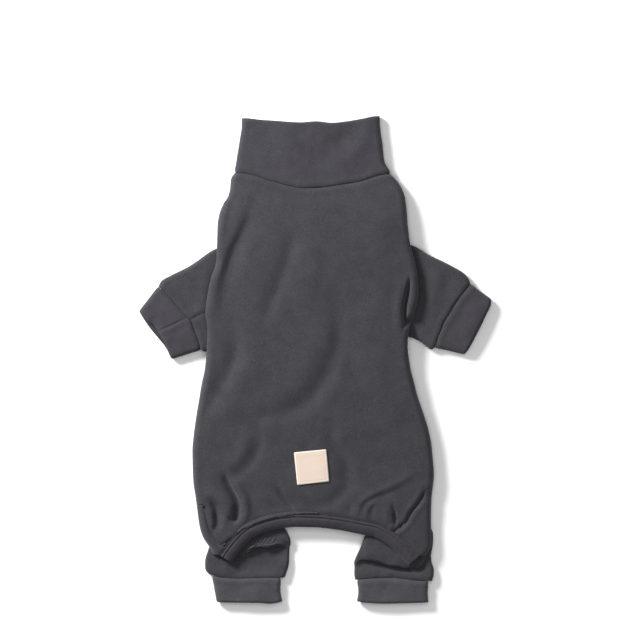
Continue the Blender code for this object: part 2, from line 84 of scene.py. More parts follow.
# Sides of the body seen from above, x and y from the neck seam down to the rear
SIDE = {
    LEFT: mm(
        (-87.9, 207.8), (-91.8, 201.7), (-92.9, 190.7), (-95.1, 181.9), (-100.0, 174.2), (-104.4, 163.2),
        (-106.6, 151.1), (-107.2, 129.1), (-108.0, 110.7), (-114.4, 89.7), (-118.2, 69.7), (-120.1, 53.2),
        (-117.8, 38.7), (-118.5, 13.0), (-120.8, -9.5), (-123.7, -22.7), (-127.0, -42.5), (-130.3, -62.3),
        (-133.0, -82.1), (-134.3, -97.5), (-133.8, -121.7), (-133.0, -134.9), (-130.9, -148.1),
        (-128.6, -165.7),
        (-126.4, -181.1), (-122.6, -193.2), (-114.2, -206.0),
    ),
    RIGHT: mm(
        (83.9, 207.2), (89.2, 201.7), (94.1, 195.1), (97.4, 188.5), (99.6, 181.9), (101.2, 170.9),
        (102.9, 148.9), (105.5, 128.8), (110.4, 110.1), (113.9, 90.6), (114.4, 73.8),
        (111.0, 56.0), (103.5, 30.5), (102.5, 18.0), (103.6, 5.9), (106.0, -9.5),
        (109.5, -22.7), (112.8, -35.9), (117.2, -49.1), (121.6, -62.3), (125.5, -75.5), (128.6, -90.9),
        (130.4, -108.5), (131.5, -125.0), (130.4, -137.1), (128.8, -150.3), (128.2, -174.5),
        (128.9, -202.0), (128.7, -214.1),
    ),
}
NECK = mm(
    (-87.9, 208.0), (-69.8, 205.0), (-53.3, 199.5), (-29.1, 192.9), (-12.6, 190.1), (2.8, 190.5),
    (27.0, 193.7), (51.2, 197.8), (67.7, 203.3), (83.9, 207.3),
)
HIP_START = {LEFT: -158.0 * MM, RIGHT: -140.4 * MM}

# Height of the back above what it lies on, and the hidden seams under the body, by y
LEVEL = mm((-300.0, 14.6), (-168.0, 14.6), (-85.3, 17.3), (-2.7, 20.0), (147.6, 20.0), (207.7, 13.0))
UNDER = {
    LEFT: mm(
        (-207.0, -87.0), (-137.9, -106.0), (-85.3, -103.0), (-10.2, -84.5), (155.0, -79.0),
        (207.7, -66.0),
    ),
    RIGHT: mm(
        (-207.0, 101.5), (-137.9, 104.0), (-85.3, 100.0), (-10.2, 83.0), (155.0, 78.0), (207.7, 61.5),
    ),
}

# Upper edge of the hem band, from the left end round the rear to the right end
HEM = mm(
    (-104.3, -213.2), (-97.3, -202.9), (-87.1, -190.8), (-76.4, -181.3), (-57.7, -173.0), (-38.1, -168.4),
    (-20.3, -166.8), (1.7, -167.3), (25.9, -169.9), (53.3, -175.0), (68.1, -177.9), (78.7, -182.9),
    (92.6, -191.7), (104.4, -202.2), (115.1, -214.1),
)
HEM_LEFT_SEAM, HEM_RIGHT_SEAM = 0.085, 0.845

# Hip seams from the side of the body to the hem band
HIP_SEAM = {
    LEFT: mm((-119.7, -170.1), (-116.0, -183.3), (-110.2, -194.2), (-101.7, -202.0)),
    RIGHT: mm((119.2, -148.6), (112.2, -158.8), (106.2, -166.7), (101.4, -175.5)),
}

# Folds of the back: how far each slopes on its left and on its right as it is walked from
# its first point, its depth (below zero a valley), all in mm, and its run seen from above
FOLD = (
    ("chest valley", 11, 6.5, -4.4, ((-67.6, 172.0), (-73.1, 153.3), (-88.5, 120.3), (-100.6, 78.5))),
    ("left ridge", 7, 8, 2.4, ((-97.3, 126.9), (-105.0, 102.7), (-111.6, 67.5), (-114.9, 43.3))),
    ("left shoulder valley", 6, 6, -1.2, ((-87.4, 192.9), (-94.0, 162.1), (-97.3, 133.5))),
    ("centre valley", 7, 10, -3.0, ((-21.4, 142.3), (-30.2, 109.3), (-44.5, 69.7), (-55.5, 41.1))),
    ("centre ridge", 14, 14, 1.8, ((3.9, 150.0), (-2.7, 109.3), (-12.6, 67.5), (-20.3, 34.5))),
    ("right chest ridge", 16, 16, 1.2, ((63.3, 161.0), (68.8, 122.5), (69.9, 78.5), (65.5, 40.0))),
    ("waist valley", 8, 12, -3.6, ((-94.0, 56.5), (-86.3, 18.0), (-97.3, -16.1), (-124.8, -62.3))),
    ("waist ridge", 12, 12, 1.2, ((-68.7, 34.5), (-68.7, -0.7), (-81.9, -31.5), (-108.3, -73.3))),
    (
        "long valley", 9, 10, -3.2,
        (
            (24.8, 74.1), (27.0, 32.3), (19.3, -0.7), (3.9, -31.5), (-18.1, -50.2), (-51.1, -60.1),
            (-78.6, -68.9),
        ),
    ),
    ("long ridge", 13, 13, 1.3, ((3.9, 34.5), (-7.1, -0.7), (-24.7, -24.9), (-57.7, -40.3))),
    ("right soft valley", 10, 11, -1.9, ((28.1, 34.5), (36.9, 5.9), (47.9, -29.3))),
    ("right waist ridge", 13, 13, 1.3, ((56.7, 25.7), (67.7, -7.3), (83.1, -44.7), (91.9, -86.5))),
    (
        "hip crease", 5, 9, -2.2,
        (
            (-63.2, -64.5), (-59.9, -86.5), (-68.7, -110.7), (-86.3, -126.1), (-101.7, -134.9),
        ),
    ),
    ("hip ridge", 8, 8, 1.5, ((-75.3, -77.7), (-78.6, -97.5), (-95.1, -119.5))),
    (
        "hook crease", 1.8, 5.5, -8.0,
        (
            (-98.4, -123.9), (-92.1, -139.2), (-86.3, -149.0), (-83.2, -158.8), (-83.6, -169.0),
            (-87.9, -176.2), (-95.1, -172.3),
        ),
    ),
    (
        "hook ridge", 4.2, 5, 3.4,
        (
            (-91.8, -128.3), (-83.0, -140.4), (-76.4, -152.5), (-74.7, -165.7), (-79.7, -177.8),
        ),
    ),
    (
        "inner hip crease", 4.5, 3.4, -6.0,
        (
            (-113.8, -154.7), (-108.0, -165.7), (-107.4, -178.5), (-111.0, -187.7),
        ),
    ),
    (
        "inner hip ridge", 5, 4.6, 2.6,
        (
            (-120.4, -143.7), (-101.7, -154.7), (-95.6, -165.7), (-99.5, -178.9),
        ),
    ),
    ("rear crease", 2.2, 4.2, -4.4, ((-41.2, -139.3), (-33.1, -150.0), (-26.3, -157.8), (-21.4, -165.7))),
    ("rear soft crease", 5, 5, -1.2, ((-52.2, -152.5), (-38.1, -161.8), (-26.9, -166.8))),
    (
        "beside label", 7, 8, -2.6,
        (
            (21.5, -62.3), (19.3, -86.5), (35.8, -112.9), (36.9, -134.9), (21.5, -152.5),
            (-2.7, -161.3),
        ),
    ),
    (
        "right rear arc", 3.4, 4, 2.0,
        (
            (108.4, -123.9), (88.6, -136.0), (67.7, -144.8), (50.1, -156.9), (45.7, -173.4),
        ),
    ),
    (
        "right rear valley", 5, 6, -0.8,
        (
            (99.6, -136.0), (77.6, -145.9), (60.0, -154.7), (54.5, -165.7), (53.4, -174.5),
        ),
    ),
    ("second arc", 3, 3, 1.4, ((69.9, -152.5), (59.5, -159.7), (56.2, -167.9), (55.6, -175.6))),
    ("left pleat", 2.4, 2.4, -0.9, ((40.2, -155.8), (39.1, -164.6), (39.1, -172.3))),
    ("right pleat", 2.6, 2.6, -0.9, ((65.5, -158.0), (63.3, -166.8), (63.3, -175.6))),
    ("right hip crease", 1.3, 2.2, -3.6, ((85.9, -158.0), (88.9, -167.9), (89.3, -176.7), (88.1, -184.4))),
    ("right hip fold", 1.6, 2.4, -2.2, ((90.3, -171.2), (94.8, -177.8), (96.8, -183.3))),
    ("right hip ridge", 4.5, 4.5, 1.5, ((77.6, -158.0), (79.8, -169.0), (80.9, -178.9))),
    (
        "side pocket", 1.6, 2.4, -11.0,
        (
            (105.1, 89.5), (102.9, 73.8), (100.3, 60.9), (99.9, 51.0), (100.6, 40.0), (101.8, 29.0),
        ),
    ),
    ("side pocket ridge", 4.5, 4.5, 1.6, ((95.2, 85.1), (92.5, 67.5), (91.4, 49.9), (93.0, 30.1))),
    ("side bulge", 4, 4, 1.4, ((108.4, 100.5), (109.3, 78.5), (106.9, 58.7), (104.0, 43.3))),
)


def curve(keys, values, at):
    """Smooth curve through a column, with no swing past its rows and flat past its ends."""
    keys, values = np.asarray(keys, float), np.asarray(values, float)
    if keys[0] > keys[-1]:
        keys, values = keys[::-1], values[::-1]
    step = np.diff(keys)
    slope = np.diff(values) / step
    before, after = slope[:-1], slope[1:]
    both = before * after > 0
    inner = np.where(both, 2 * before * after / np.where(both, before + after, 1.0), 0.0)
    tangent = np.concatenate(([slope[0]], inner, [slope[-1]]))
    at = np.clip(at, keys[0], keys[-1])
    i = np.clip(np.searchsorted(keys, at, side="right") - 1, 0, len(step) - 1)
    t = (at - keys[i]) / step[i]
    rise = values[i + 1] - values[i]
    start = (t - 2 * t**2 + t**3) * step[i] * tangent[i]
    end = (t**3 - t**2) * step[i] * tangent[i + 1]
    return values[i] + rise * t * t * (3 - 2 * t) + start + end


def run_through(points, count):
    """Evenly spaced points on a smooth run through the given ones, in any number of axes."""
    points = np.asarray(points, float)
    length = np.concatenate(([0.0], np.cumsum(np.linalg.norm(np.diff(points, axis=0), axis=1))))
    at = np.linspace(0.0, length[-1], count)
    return np.stack([curve(length, points[:, k], at) for k in range(points.shape[1])], axis=1)


def beside(run, xy):
    """For points seen from above: distance from the run, its side of it and its share along it."""
    best = np.full(len(xy), 1e9)
    side = np.zeros(len(xy))
    along = np.zeros(len(xy))
    for i, (a, b) in enumerate(zip(run, run[1:])):
        leg = b - a
        share = np.clip((xy - a) @ leg / (leg @ leg), 0.0, 1.0)
        away = xy - a - share[:, None] * leg
        distance = np.hypot(away[:, 0], away[:, 1])
        nearer = distance < best
        best = np.where(nearer, distance, best)
        side = np.where(nearer, np.sign(leg[0] * away[:, 1] - leg[1] * away[:, 0]), side)
        along = np.where(nearer, (i + share) / (len(run) - 1), along)
    return best, side, along


def folds(xy, table):
    """Height that a table of folds adds at points seen from above."""
    total = np.zeros(len(xy))
    for _, left, right, depth, points in table:
        distance, side, along = beside(run_through(mm(*points), 24), xy)
        width = np.where(side > 0, left, right) * MM
        taper = np.sin(math.pi * np.clip(0.04 + 0.92 * along, 0, 1)) ** 0.8
        total += depth * MM * taper * np.exp(-((distance / width) ** 2))
    return total


def slack(xy, size, height, seed):
    """Gentle unevenness of cloth that lies loose."""
    spots = [noise.noise(Vector((x / size, y / size, seed))) for x, y in xy]
    return height * np.array(spots)


def seam_roll(distance):
    """A sewn edge turns down into its seam, with the cloth slightly full beside it."""
    full = 0.3 * np.exp(-(((distance - 3.2 * SEAM_REACH) / (1.6 * SEAM_REACH)) ** 2))
    return SEAM_DEPTH * (full - np.exp(-((distance / SEAM_REACH) ** 2)))


def held_flat(distance):
    """A stitched edge holds the folds that run into it nearly flat."""
    return 1 - HELD_SHARE * np.exp(-((distance / HELD_REACH) ** 2))


def turned_in(sheet, start=True, end=False):
    """The sheet with its sewn ends turned down into their seams."""
    rows = [sheet]
    if start:
        rows.insert(0, sheet[:1] + (sheet[:1] - sheet[1:2]) * np.array([0.08, 0.08, 0.0]))
        rows[0][..., 2] -= np.where(sheet[:1, :, 2] > TURN_IN, TURN_IN, 0.0)
    if end:
        rows.append(sheet[-1:] + (sheet[-1:] - sheet[-2:-1]) * np.array([0.08, 0.08, 0.0]))
        rows[-1][..., 2] -= np.where(sheet[-1:, :, 2] > TURN_IN, TURN_IN, 0.0)
    return np.concatenate(rows)


def side_x(side, y):
    """Where the side of the body stands at y, seen from above."""
    return curve(SIDE[side][:, 1], SIDE[side][:, 0], y)


def body_top(xy, fold_share=1.0):
    """Height of the outside of the back at points seen from above, with a share of its folds."""
    x, y = xy[:, 0], xy[:, 1]
    left, right = side_x(LEFT, y) + SIDE_ROLL, side_x(RIGHT, y) - SIDE_ROLL
    share = np.clip((2 * x - left - right) / (right - left), -1.0, 1.0)
    rest = curve(LEVEL[:, 0], LEVEL[:, 1], y) + CROWN * (1 - share**2)
    loose = slack(xy, *SLUMP) + slack(xy, *FINE_SLUMP)
    return rest + folds(xy, FOLD) * fold_share + loose


def along_armhole(y):
    """1 beside the armholes, 0 well above and below them."""
    high = np.clip((ARMHOLE_TOP - y) / ARMHOLE_RAMP, 0.0, 1.0)
    low = np.clip((y - ARMHOLE_FOOT) / ARMHOLE_RAMP, 0.0, 1.0)
    return (high * low) ** 2 * (3 - 2 * high * low)


def side_wrap(side, tops):
    """From the top of the side, round it and under the body to the hidden seam, row by row."""
    y, high = tops[:, 1], tops[:, 2]
    low = SLEEVE_LIFT * along_armhole(y)
    wrap = []
    for k in range(1, ROLL_STEPS + 1):
        turn = math.pi * k / ROLL_STEPS
        x = tops[:, 0] + side * SIDE_ROLL * math.sin(turn)
        wrap.append(np.stack([x, y, low + (high - low) * (1 + math.cos(turn)) / 2], axis=1))
    plain = curve(UNDER[side][:, 0], UNDER[side][:, 1], y)
    seam = plain + (side * ARM_ACROSS - plain) * along_armhole(y) + side * SEAM_PLAY
    for k in range(1, RETURN_STEPS + 1):
        x = tops[:, 0] + (seam - tops[:, 0]) * k / RETURN_STEPS
        wrap.append(np.stack([x, y, low], axis=1))
    return np.stack(wrap, axis=1)


def cloth(name, grid, wall, ring=False):
    """A closed wall of cloth through rows of points on its outer side, with a UV map in metres
    along its rows and columns. Points that are not numbers leave the grid open there."""
    rows, columns = grid.shape[:2]
    keep = np.isfinite(grid[..., 0])
    number = np.full((rows, columns), -1)
    number[keep] = np.arange(keep.sum())
    reach = columns if ring else columns - 1
    faces = []
    corners = []
    for i in range(rows - 1):
        for j in range(reach):
            k = (j + 1) % columns
            face = (number[i, j], number[i + 1, j], number[i + 1, k], number[i, k])
            if min(face) >= 0:
                faces.append(tuple(int(n) for n in face))
                corners.append(((i, j), (i + 1, j), (i + 1, j + 1), (i, j + 1)))
    mesh = bpy.data.meshes.new(name)
    mesh.from_pydata(grid[keep].tolist(), [], faces)
    whole = np.where(np.isfinite(grid), grid, 0.0)
    closed = np.concatenate([whole, whole[:, :1]], axis=1) if ring else whole
    across = np.zeros(closed.shape[:2])
    across[:, 1:] = np.cumsum(np.linalg.norm(np.diff(closed, axis=1), axis=2), axis=1)
    across -= np.mean(across, axis=1, keepdims=True)
    down = np.zeros(closed.shape[:2])
    down[1:] = np.cumsum(np.linalg.norm(np.diff(closed, axis=0), axis=2), axis=0)
    flat = mesh.uv_layers.new(name="cloth")
    values = [(across[i, j], down[i, j]) for corner in corners for i, j in corner]
    flat.data.foreach_set("uv", np.array(values, dtype=np.float32).ravel())
    mesh.shade_smooth()
    piece = bpy.data.objects.new(name, mesh)
    bpy.context.scene.collection.objects.link(piece)
    shape = bmesh.new()
    shape.from_mesh(mesh)
    middle = grid[keep][:, 2].mean()
    upper = [face for face in shape.faces if face.calc_center_median().z > middle]
    if sum(face.normal.z * face.calc_area() for face in upper) < 0:
        bmesh.ops.reverse_faces(shape, faces=shape.faces)
    shape.to_mesh(mesh)
    shape.free()
    thickness = piece.modifiers.new("wall", "SOLIDIFY")
    thickness.thickness = wall
    thickness.offset = -1
    bpy.context.view_layer.objects.active = piece
    bpy.ops.object.modifier_apply(modifier="wall")
    return piece


def on_hem(hem, share):
    """Points of the hem's run at shares of its length."""
    at = share * (HEM_POINTS - 1)
    return np.stack([np.interp(at, np.arange(HEM_POINTS), hem[:, k]) for k in (0, 1)], axis=1)


def back_grid():
    """Rows of the back: level ones from the neck to the hips, then down to the hem band."""
    t = np.linspace(0.0, 1.0, BACK_ROWS)
    ends = {}
    for side in (LEFT, RIGHT):
        y = SIDE[side][0, 1] + (HIP_START[side] - SIDE[side][0, 1]) * t
        ends[side] = np.stack([side_x(side, y) - side * SIDE_ROLL, y], axis=1)
    s = np.linspace(0.0, 1.0, BACK_ACROSS)
    s = s - EDGE_CROWDING * np.sin(2 * math.pi * s) / (2 * math.pi)
    top = ends[LEFT][:, None] * (1 - s)[None, :, None] + ends[RIGHT][:, None] * s[None, :, None]
    dip = curve(NECK[:, 0], NECK[:, 1], top[0, :, 0]) - top[0, :, 1]
    top[..., 1] += dip[None, :] * (np.clip(1 - t / NECK_FADE, 0, 1) ** 1.3)[:, None]
    hem = run_through(HEM, HEM_POINTS)
    goal = on_hem(hem, HEM_LEFT_SEAM + (HEM_RIGHT_SEAM - HEM_LEFT_SEAM) * s)
    u = np.linspace(0.0, 1.0, HIP_ROWS + 1)[1:]
    start = top[-1]
    lower = start[None] * (1 - u)[:, None, None] + goal[None] * u[:, None, None]
    for side, corner, weight in ((LEFT, 0, 1 - s), (RIGHT, -1, s)):
        seam = run_through([start[corner], *HIP_SEAM[side], goal[corner]], HIP_ROWS + 1)[1:]
        straight = start[corner] * (1 - u)[:, None] + goal[corner] * u[:, None]
        lower += (seam - straight)[:, None] * (weight**2)[None, :, None]
    return top, lower, hem


def hip_roll(xy, distance):
    """The hip seams sink in, deeper on the right, but not where they start on the sides."""
    starts = [np.linalg.norm(xy - hip_run[side][0], axis=1) for side in (LEFT, RIGHT)]
    deep = np.where(xy[:, 0] < 0, HIP_SEAM_DEPTH[LEFT], HIP_SEAM_DEPTH[RIGHT])
    return deep * seam_roll(distance) * np.clip(np.minimum(*starts) / HIP_SEAM_FADE, 0.0, 1.0)


top, lower, hem_run = back_grid()
plan = np.concatenate([top, lower])
flat_plan = plan.reshape(-1, 2)
from_hem = beside(hem_run, flat_plan)[0]
height = body_top(flat_plan, held_flat(from_hem))
from_neck = beside(top[0], flat_plan)[0]
hip_run = {side: plan[BACK_ROWS - 1:, 0 if side == LEFT else -1] for side in (LEFT, RIGHT)}
from_hips = np.minimum(beside(hip_run[LEFT], flat_plan)[0], beside(hip_run[RIGHT], flat_plan)[0])
height += seam_roll(from_neck) + hip_roll(flat_plan, from_hips) + HEM_DEPTH * seam_roll(from_hem)
body = turned_in(np.concatenate([plan, height.reshape(*plan.shape[:2], 1)], axis=2), end=True)
wraps = {}
for side, column in ((LEFT, 0), (RIGHT, -1)):
    wrapped = side_wrap(side, body[:BACK_ROWS + 1, column])
    open_rows = np.full((HIP_ROWS + 1, *wrapped.shape[1:]), np.nan)
    wraps[side] = np.concatenate([wrapped, open_rows])
grid = np.concatenate([wraps[LEFT][:, ::-1], body, wraps[RIGHT]], axis=1)
back = cloth("back_cloth", grid, FLEECE)
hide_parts("back_panel")
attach(back, "root")


def srgb(hex_code):
    """A colour as it is seen, as the linear values that a shader takes."""
    parts = [int(hex_code[i:i + 2], 16) / 255 for i in (0, 2, 4)]
    linear = [p / 12.92 if p <= 0.04045 else ((p + 0.055) / 1.055) ** 2.4 for p in parts]
    return (*linear, 1.0)


def add_node(tree, kind, settings=(), **sockets):
    """A node with its settings, each named socket set to a value or linked to an output."""
    made = tree.nodes.new(kind)
    for key, value in dict(settings).items():
        setattr(made, key, value)
    for key, value in sockets.items():
        socket = made.inputs[key.replace("_", " ")]
        if isinstance(value, bpy.types.NodeSocket):
            tree.links.new(value, socket)
        else:
            socket.default_value = value
    return made


def brushed_fleece(name, dark, light, nap=0.00022, wale=0.0):
    """Brushed polyester fleece: short matt nap over a fine knit, a little lighter where the
    nap stands up."""
    made = bpy.data.materials.new(name)
    made.use_nodes = True
    tree = made.node_tree
    shader = tree.nodes["Principled BSDF"]
    place = add_node(tree, "ShaderNodeTexCoord").outputs["Object"]
    tufts = add_node(tree, "ShaderNodeTexNoise", Vector=place, Scale=620.0, Detail=4.0, Roughness=0.7)
    drift = add_node(tree, "ShaderNodeTexNoise", Vector=place, Scale=70.0, Detail=3.0, Roughness=0.55)
    mixed = add_node(tree, "ShaderNodeMath", {"operation": "MULTIPLY_ADD"})
    tree.links.new(tufts.outputs["Fac"], mixed.inputs[0])
    mixed.inputs[1].default_value = 2.2
    tree.links.new(drift.outputs["Fac"], mixed.inputs[2])
    shade = add_node(tree, "ShaderNodeMapRange", Value=mixed.outputs[0])
    shade.inputs["From Min"].default_value = 1.05
    shade.inputs["From Max"].default_value = 2.15
    colour = add_node(tree, "ShaderNodeMix", {"data_type": "RGBA"})
    tree.links.new(shade.outputs["Result"], colour.inputs["Factor"])
    colour.inputs[6].default_value = srgb(dark)
    colour.inputs[7].default_value = srgb(light)
    tree.links.new(colour.outputs[2], shader.inputs["Base Color"])
    bump = add_node(tree, "ShaderNodeBump", Strength=1.0, Distance=nap, Height=tufts.outputs["Fac"])
    if wale:
        cloth_map = add_node(tree, "ShaderNodeUVMap", {"uv_map": "cloth"}).outputs["UV"]
        ribs = add_node(tree, "ShaderNodeTexWave", {"bands_direction": "X"}, Vector=cloth_map)
        ribs.inputs["Scale"].default_value = 0.314 / wale
        ribs.inputs["Distortion"].default_value = 0.6
        ribs.inputs["Detail Scale"].default_value = 2.0
        knit = add_node(tree, "ShaderNodeBump", Strength=0.5, Distance=nap, Height=ribs.outputs["Fac"])
        tree.links.new(bump.outputs["Normal"], knit.inputs["Normal"])
        bump = knit
    tree.links.new(bump.outputs["Normal"], shader.inputs["Normal"])
    shader.inputs["Roughness"].default_value = 0.95
    shader.inputs["Specular IOR Level"].default_value = 0.15
    shader.inputs["Sheen Weight"].default_value = 0.12
    shader.inputs["Sheen Roughness"].default_value = 0.5
    return made


fleece = brushed_fleece("brushed fleece", "2e2d31", "3f3e43", wale=0.0012)
back.data.materials.append(fleece)

# Thigh gussets: a small panel of the same fleece on each hip, between the hip seam and the
# hidden seam, round the side of the body.
THIGH_ACROSS = 26
THIGH_ROWS = HIP_ROWS + 1
GUSSET_PLAY = 0.00025
GUSSET_DROP = 0.0002
TAIL_ROWS = 8


def named(stem, side):
    """A piece's name with its side of the garment."""
    return stem + ("_left" if side == LEFT else "_right")


def thigh(side):
    """The gusset of one side, wrapped round the side of the body."""
    seam = hip_run[side]
    rear_share = np.linspace(HEM_LEFT_SEAM, 0.0, THIGH_ACROSS)
    if side == RIGHT:
        rear_share = np.linspace(HEM_RIGHT_SEAM, 1.0, THIGH_ACROSS)
    rear = on_hem(hem_run, rear_share)
    y = np.linspace(HIP_START[side] - GUSSET_DROP, rear[-1, 1], THIGH_ROWS)
    outer = np.stack([side_x(side, y) - side * SIDE_ROLL, y], axis=1)
    outer[-TAIL_ROWS:] += (rear[-1] - outer[-1]) * (np.linspace(0, 1, TAIL_ROWS) ** 2)[:, None]
    s = np.linspace(0.0, 1.0, THIGH_ACROSS)
    u = np.linspace(0.0, 1.0, THIGH_ROWS)
    seam = seam + np.array([side * GUSSET_PLAY, -GUSSET_DROP]) * np.minimum(1, 0.3 + 6 * u)[:, None]
    flat = seam[:, None] * (1 - s)[None, :, None] + outer[:, None] * s[None, :, None]
    straight = seam[-1] * (1 - s)[:, None] + outer[-1] * s[:, None]
    flat += (rear - straight)[None] * (u**2)[:, None, None]
    points = flat.reshape(-1, 2)
    from_rear = beside(rear, points)[0]
    high = body_top(points, held_flat(from_rear))
    high += hip_roll(points, beside(seam, points)[0]) + HEM_DEPTH * seam_roll(from_rear)
    top = np.concatenate([flat, high.reshape(*flat.shape[:2], 1)], axis=2)
    panel = np.concatenate([top, side_wrap(side, top[:, -1])], axis=1)
    piece = cloth(named("thigh_cloth", side), panel, FLEECE)
    piece.data.materials.append(fleece)
    return piece


for side, node in ((LEFT, "thigh_left"), (RIGHT, "thigh_right")):
    piece = thigh(side)
    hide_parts(node)
    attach(piece, "root")

# Belly: a flat strip of the same fleece that the garment lies on, sewn to the back along the
# hidden seams and out of sight under the body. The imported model's own solid serves here.
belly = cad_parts["belly_panel"]
belly.data.materials.clear()
belly.data.materials.append(fleece)

# Hem band: a doubled strip of the fleece, a shade darker, topstitched along its upper edge
# with a twin needle, which draws the cloth into two low ridges.
BAND_WIDTH = 0.0152
BAND_WALL = 0.003
BAND_PLAY = 0.00015
BAND_ROWS = 260
BAND_ACROSS = 34
BAND_RISE = 0.0012
STITCH_LINES = mm(1.5, 5.0)
STITCH_PITCH = 0.0030
STITCH_THREAD = 0.00045
STITCH_DRAW = 0.0013
STITCH_DRAW_REACH = 0.0008
BAND_HELD = 0.3
BAND_RIPPLE = (0.004, 0.00022, 2.0)
BAND_LIP_DROP = 0.003
BAND_BLUNTNESS = 0.5
band_edge = run_through(HEM, BAND_ROWS)
run = np.gradient(band_edge, axis=0)
across = np.stack([run[:, 1], -run[:, 0]], axis=1)
across /= np.linalg.norm(across, axis=1, keepdims=True)
band_at = np.linspace(0.0, 1.0, BAND_ACROSS)
band_plan = band_edge[:, None] + across[:, None] * (BAND_PLAY + BAND_WIDTH * band_at)[None, :, None]
flat_plan = band_plan.reshape(-1, 2)
off = np.tile(BAND_PLAY + BAND_WIDTH * band_at, BAND_ROWS)
level = body_top(np.repeat(band_edge, BAND_ACROSS, axis=0), BAND_HELD) * (1 - off / BAND_WIDTH)
level += body_top(flat_plan, BAND_HELD) * off / BAND_WIDTH
puff = BAND_RISE * np.sin(np.pi * np.clip(off / BAND_WIDTH, 0, 1)) ** BAND_BLUNTNESS
drawn = sum(np.exp(-(((off - line) / STITCH_DRAW_REACH) ** 2)) for line in STITCH_LINES)
ripple = slack(flat_plan, *BAND_RIPPLE)
level += puff - STITCH_DRAW * drawn + ripple * (1 + drawn) - BAND_LIP_DROP * (off / BAND_WIDTH) ** 4
band_grid = np.concatenate([band_plan, level.reshape(BAND_ROWS, BAND_ACROSS, 1)], axis=2)
band = cloth("band_cloth", band_grid, BAND_WALL)
band_fleece = brushed_fleece("band fleece", "302e33", "3d3b40", nap=0.00016, wale=0.0011)
band.data.materials.append(band_fleece)
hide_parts("hem_band")
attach(band, "root")


def stitches(name, path, pitch, thick, colour, sink=0.3):
    """A row of sewing stitches as one piece: each a short thread that dives in at both ends."""
    length = np.concatenate(([0.0], np.cumsum(np.linalg.norm(np.diff(path, axis=0), axis=1))))
    count = int(length[-1] / pitch)
    vertices, faces = [], []
    for n in range(count):
        share = np.linspace(0.0, 1.0, 6)
        at = (n + 0.06 + 0.88 * share) * pitch
        line = np.stack([np.interp(at, length, path[:, k]) for k in range(3)], axis=1)
        line[:, 2] += thick * (np.sin(np.pi * share) * 0.9 - sink)
        along = np.gradient(line, axis=0)
        sidewise = np.stack([-along[:, 1], along[:, 0], np.zeros(6)], axis=1)
        sidewise /= np.linalg.norm(sidewise, axis=1, keepdims=True) + 1e-12
        base = len(vertices)
        for k in range(6):
            radius = thick / 2 * (0.55 + 0.45 * math.sin(math.pi * share[k]))
            for c in range(6):
                turn = math.pi * c / 3
                offset = sidewise[k] * math.cos(turn) + np.array([0, 0, 1.0]) * math.sin(turn)
                vertices.append((line[k] + offset * radius).tolist())
        for k in range(5):
            for c in range(6):
                a = base + 6 * k + c
                b = base + 6 * k + (c + 1) % 6
                faces.append((a, b, b + 6, a + 6))
        faces.append(tuple(base + c for c in range(5, -1, -1)))
        faces.append(tuple(base + 30 + c for c in range(6)))
    mesh = bpy.data.meshes.new(name)
    mesh.from_pydata(vertices, [], faces)
    mesh.shade_smooth()
    piece = bpy.data.objects.new(name, mesh)
    bpy.context.scene.collection.objects.link(piece)
    piece.data.materials.append(sewing_thread(name + " thread", colour))
    return piece


def sewing_thread(name, colour):
    """Spun polyester sewing thread, slightly glossier than the fleece."""
    made = bpy.data.materials.new(name)
    made.use_nodes = True
    shader = made.node_tree.nodes["Principled BSDF"]
    shader.inputs["Base Color"].default_value = srgb(colour)
    shader.inputs["Roughness"].default_value = 0.6
    return made


def on_band(offset):
    """A line along the band at a distance from its upper edge, on its surface."""
    column = int(round((offset - BAND_PLAY) / BAND_WIDTH * (BAND_ACROSS - 1)))
    return band_grid[3:-3, column] + np.array([0.0, 0.0, 0.0002])


for k, offset in enumerate(STITCH_LINES):
    row = stitches(f"hem_stitches_{k + 1}", on_band(offset), STITCH_PITCH, STITCH_THREAD, "37353a")
    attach(row, "root")

# Collar: a high doubled tube of the fleece, lying flat above the neck seam, its folded top
# edge soft; a few shallow folds run down it.
COLLAR_LIE = 0.0125
DOUBLE_FLEECE = 0.003
COLLAR_ROWS = 64
COLLAR_ACROSS = 130
LIP_DROP = 0.0014
LIP_REACH = 0.0014
COLLAR_CROWN = 0.002
SEAM_START = 0.0002
TUBE_SLUMP = (0.03, 0.0008, 11.0)
FINE_TUBE_SLUMP = (0.010, 0.00035, 4.0)
COLLAR_RUNS = (
    NECK + mm((0.0, 0.25)),
    mm((-86.0, 221.5), (-53.3, 214.3), (-29.1, 210.5), (-2.7, 208.8), (33.6, 211.6), (77.0, 220.4)),
    mm((-83.4, 238.0), (-48.9, 233.6), (-2.7, 231.4), (36.9, 233.3), (74.9, 238.0)),
    mm((-80.9, 253.4), (-43.4, 251.2), (-2.7, 249.8), (35.8, 251.7), (72.7, 253.4)),
    mm(
        (-79.0, 263.9), (-74.7, 267.5), (-61.0, 266.1), (-43.4, 264.8), (-14.8, 263.1), (1.7, 264.2),
        (19.3, 262.6),
        (35.8, 264.2), (52.3, 267.0), (66.6, 269.7), (71.3, 267.0),
    ),
)
COLLAR_FOLD = (
    ("slanting valley", 11, 14, -2.4, ((47.9, 266.6), (38.0, 251.2), (20.4, 234.7), (-3.8, 214.9))),
    ("light ridge", 10, 10, 1.5, ((62.2, 267.7), (56.7, 252.3), (46.8, 234.7), (34.7, 217.1))),
    ("left valley", 14, 14, -1.0, ((-57.7, 263.3), (-55.5, 243.5), (-62.1, 219.3))),
    ("left ridge", 14, 14, 0.9, ((-31.3, 261.1), (-26.9, 241.3), (-26.9, 214.9))),
)


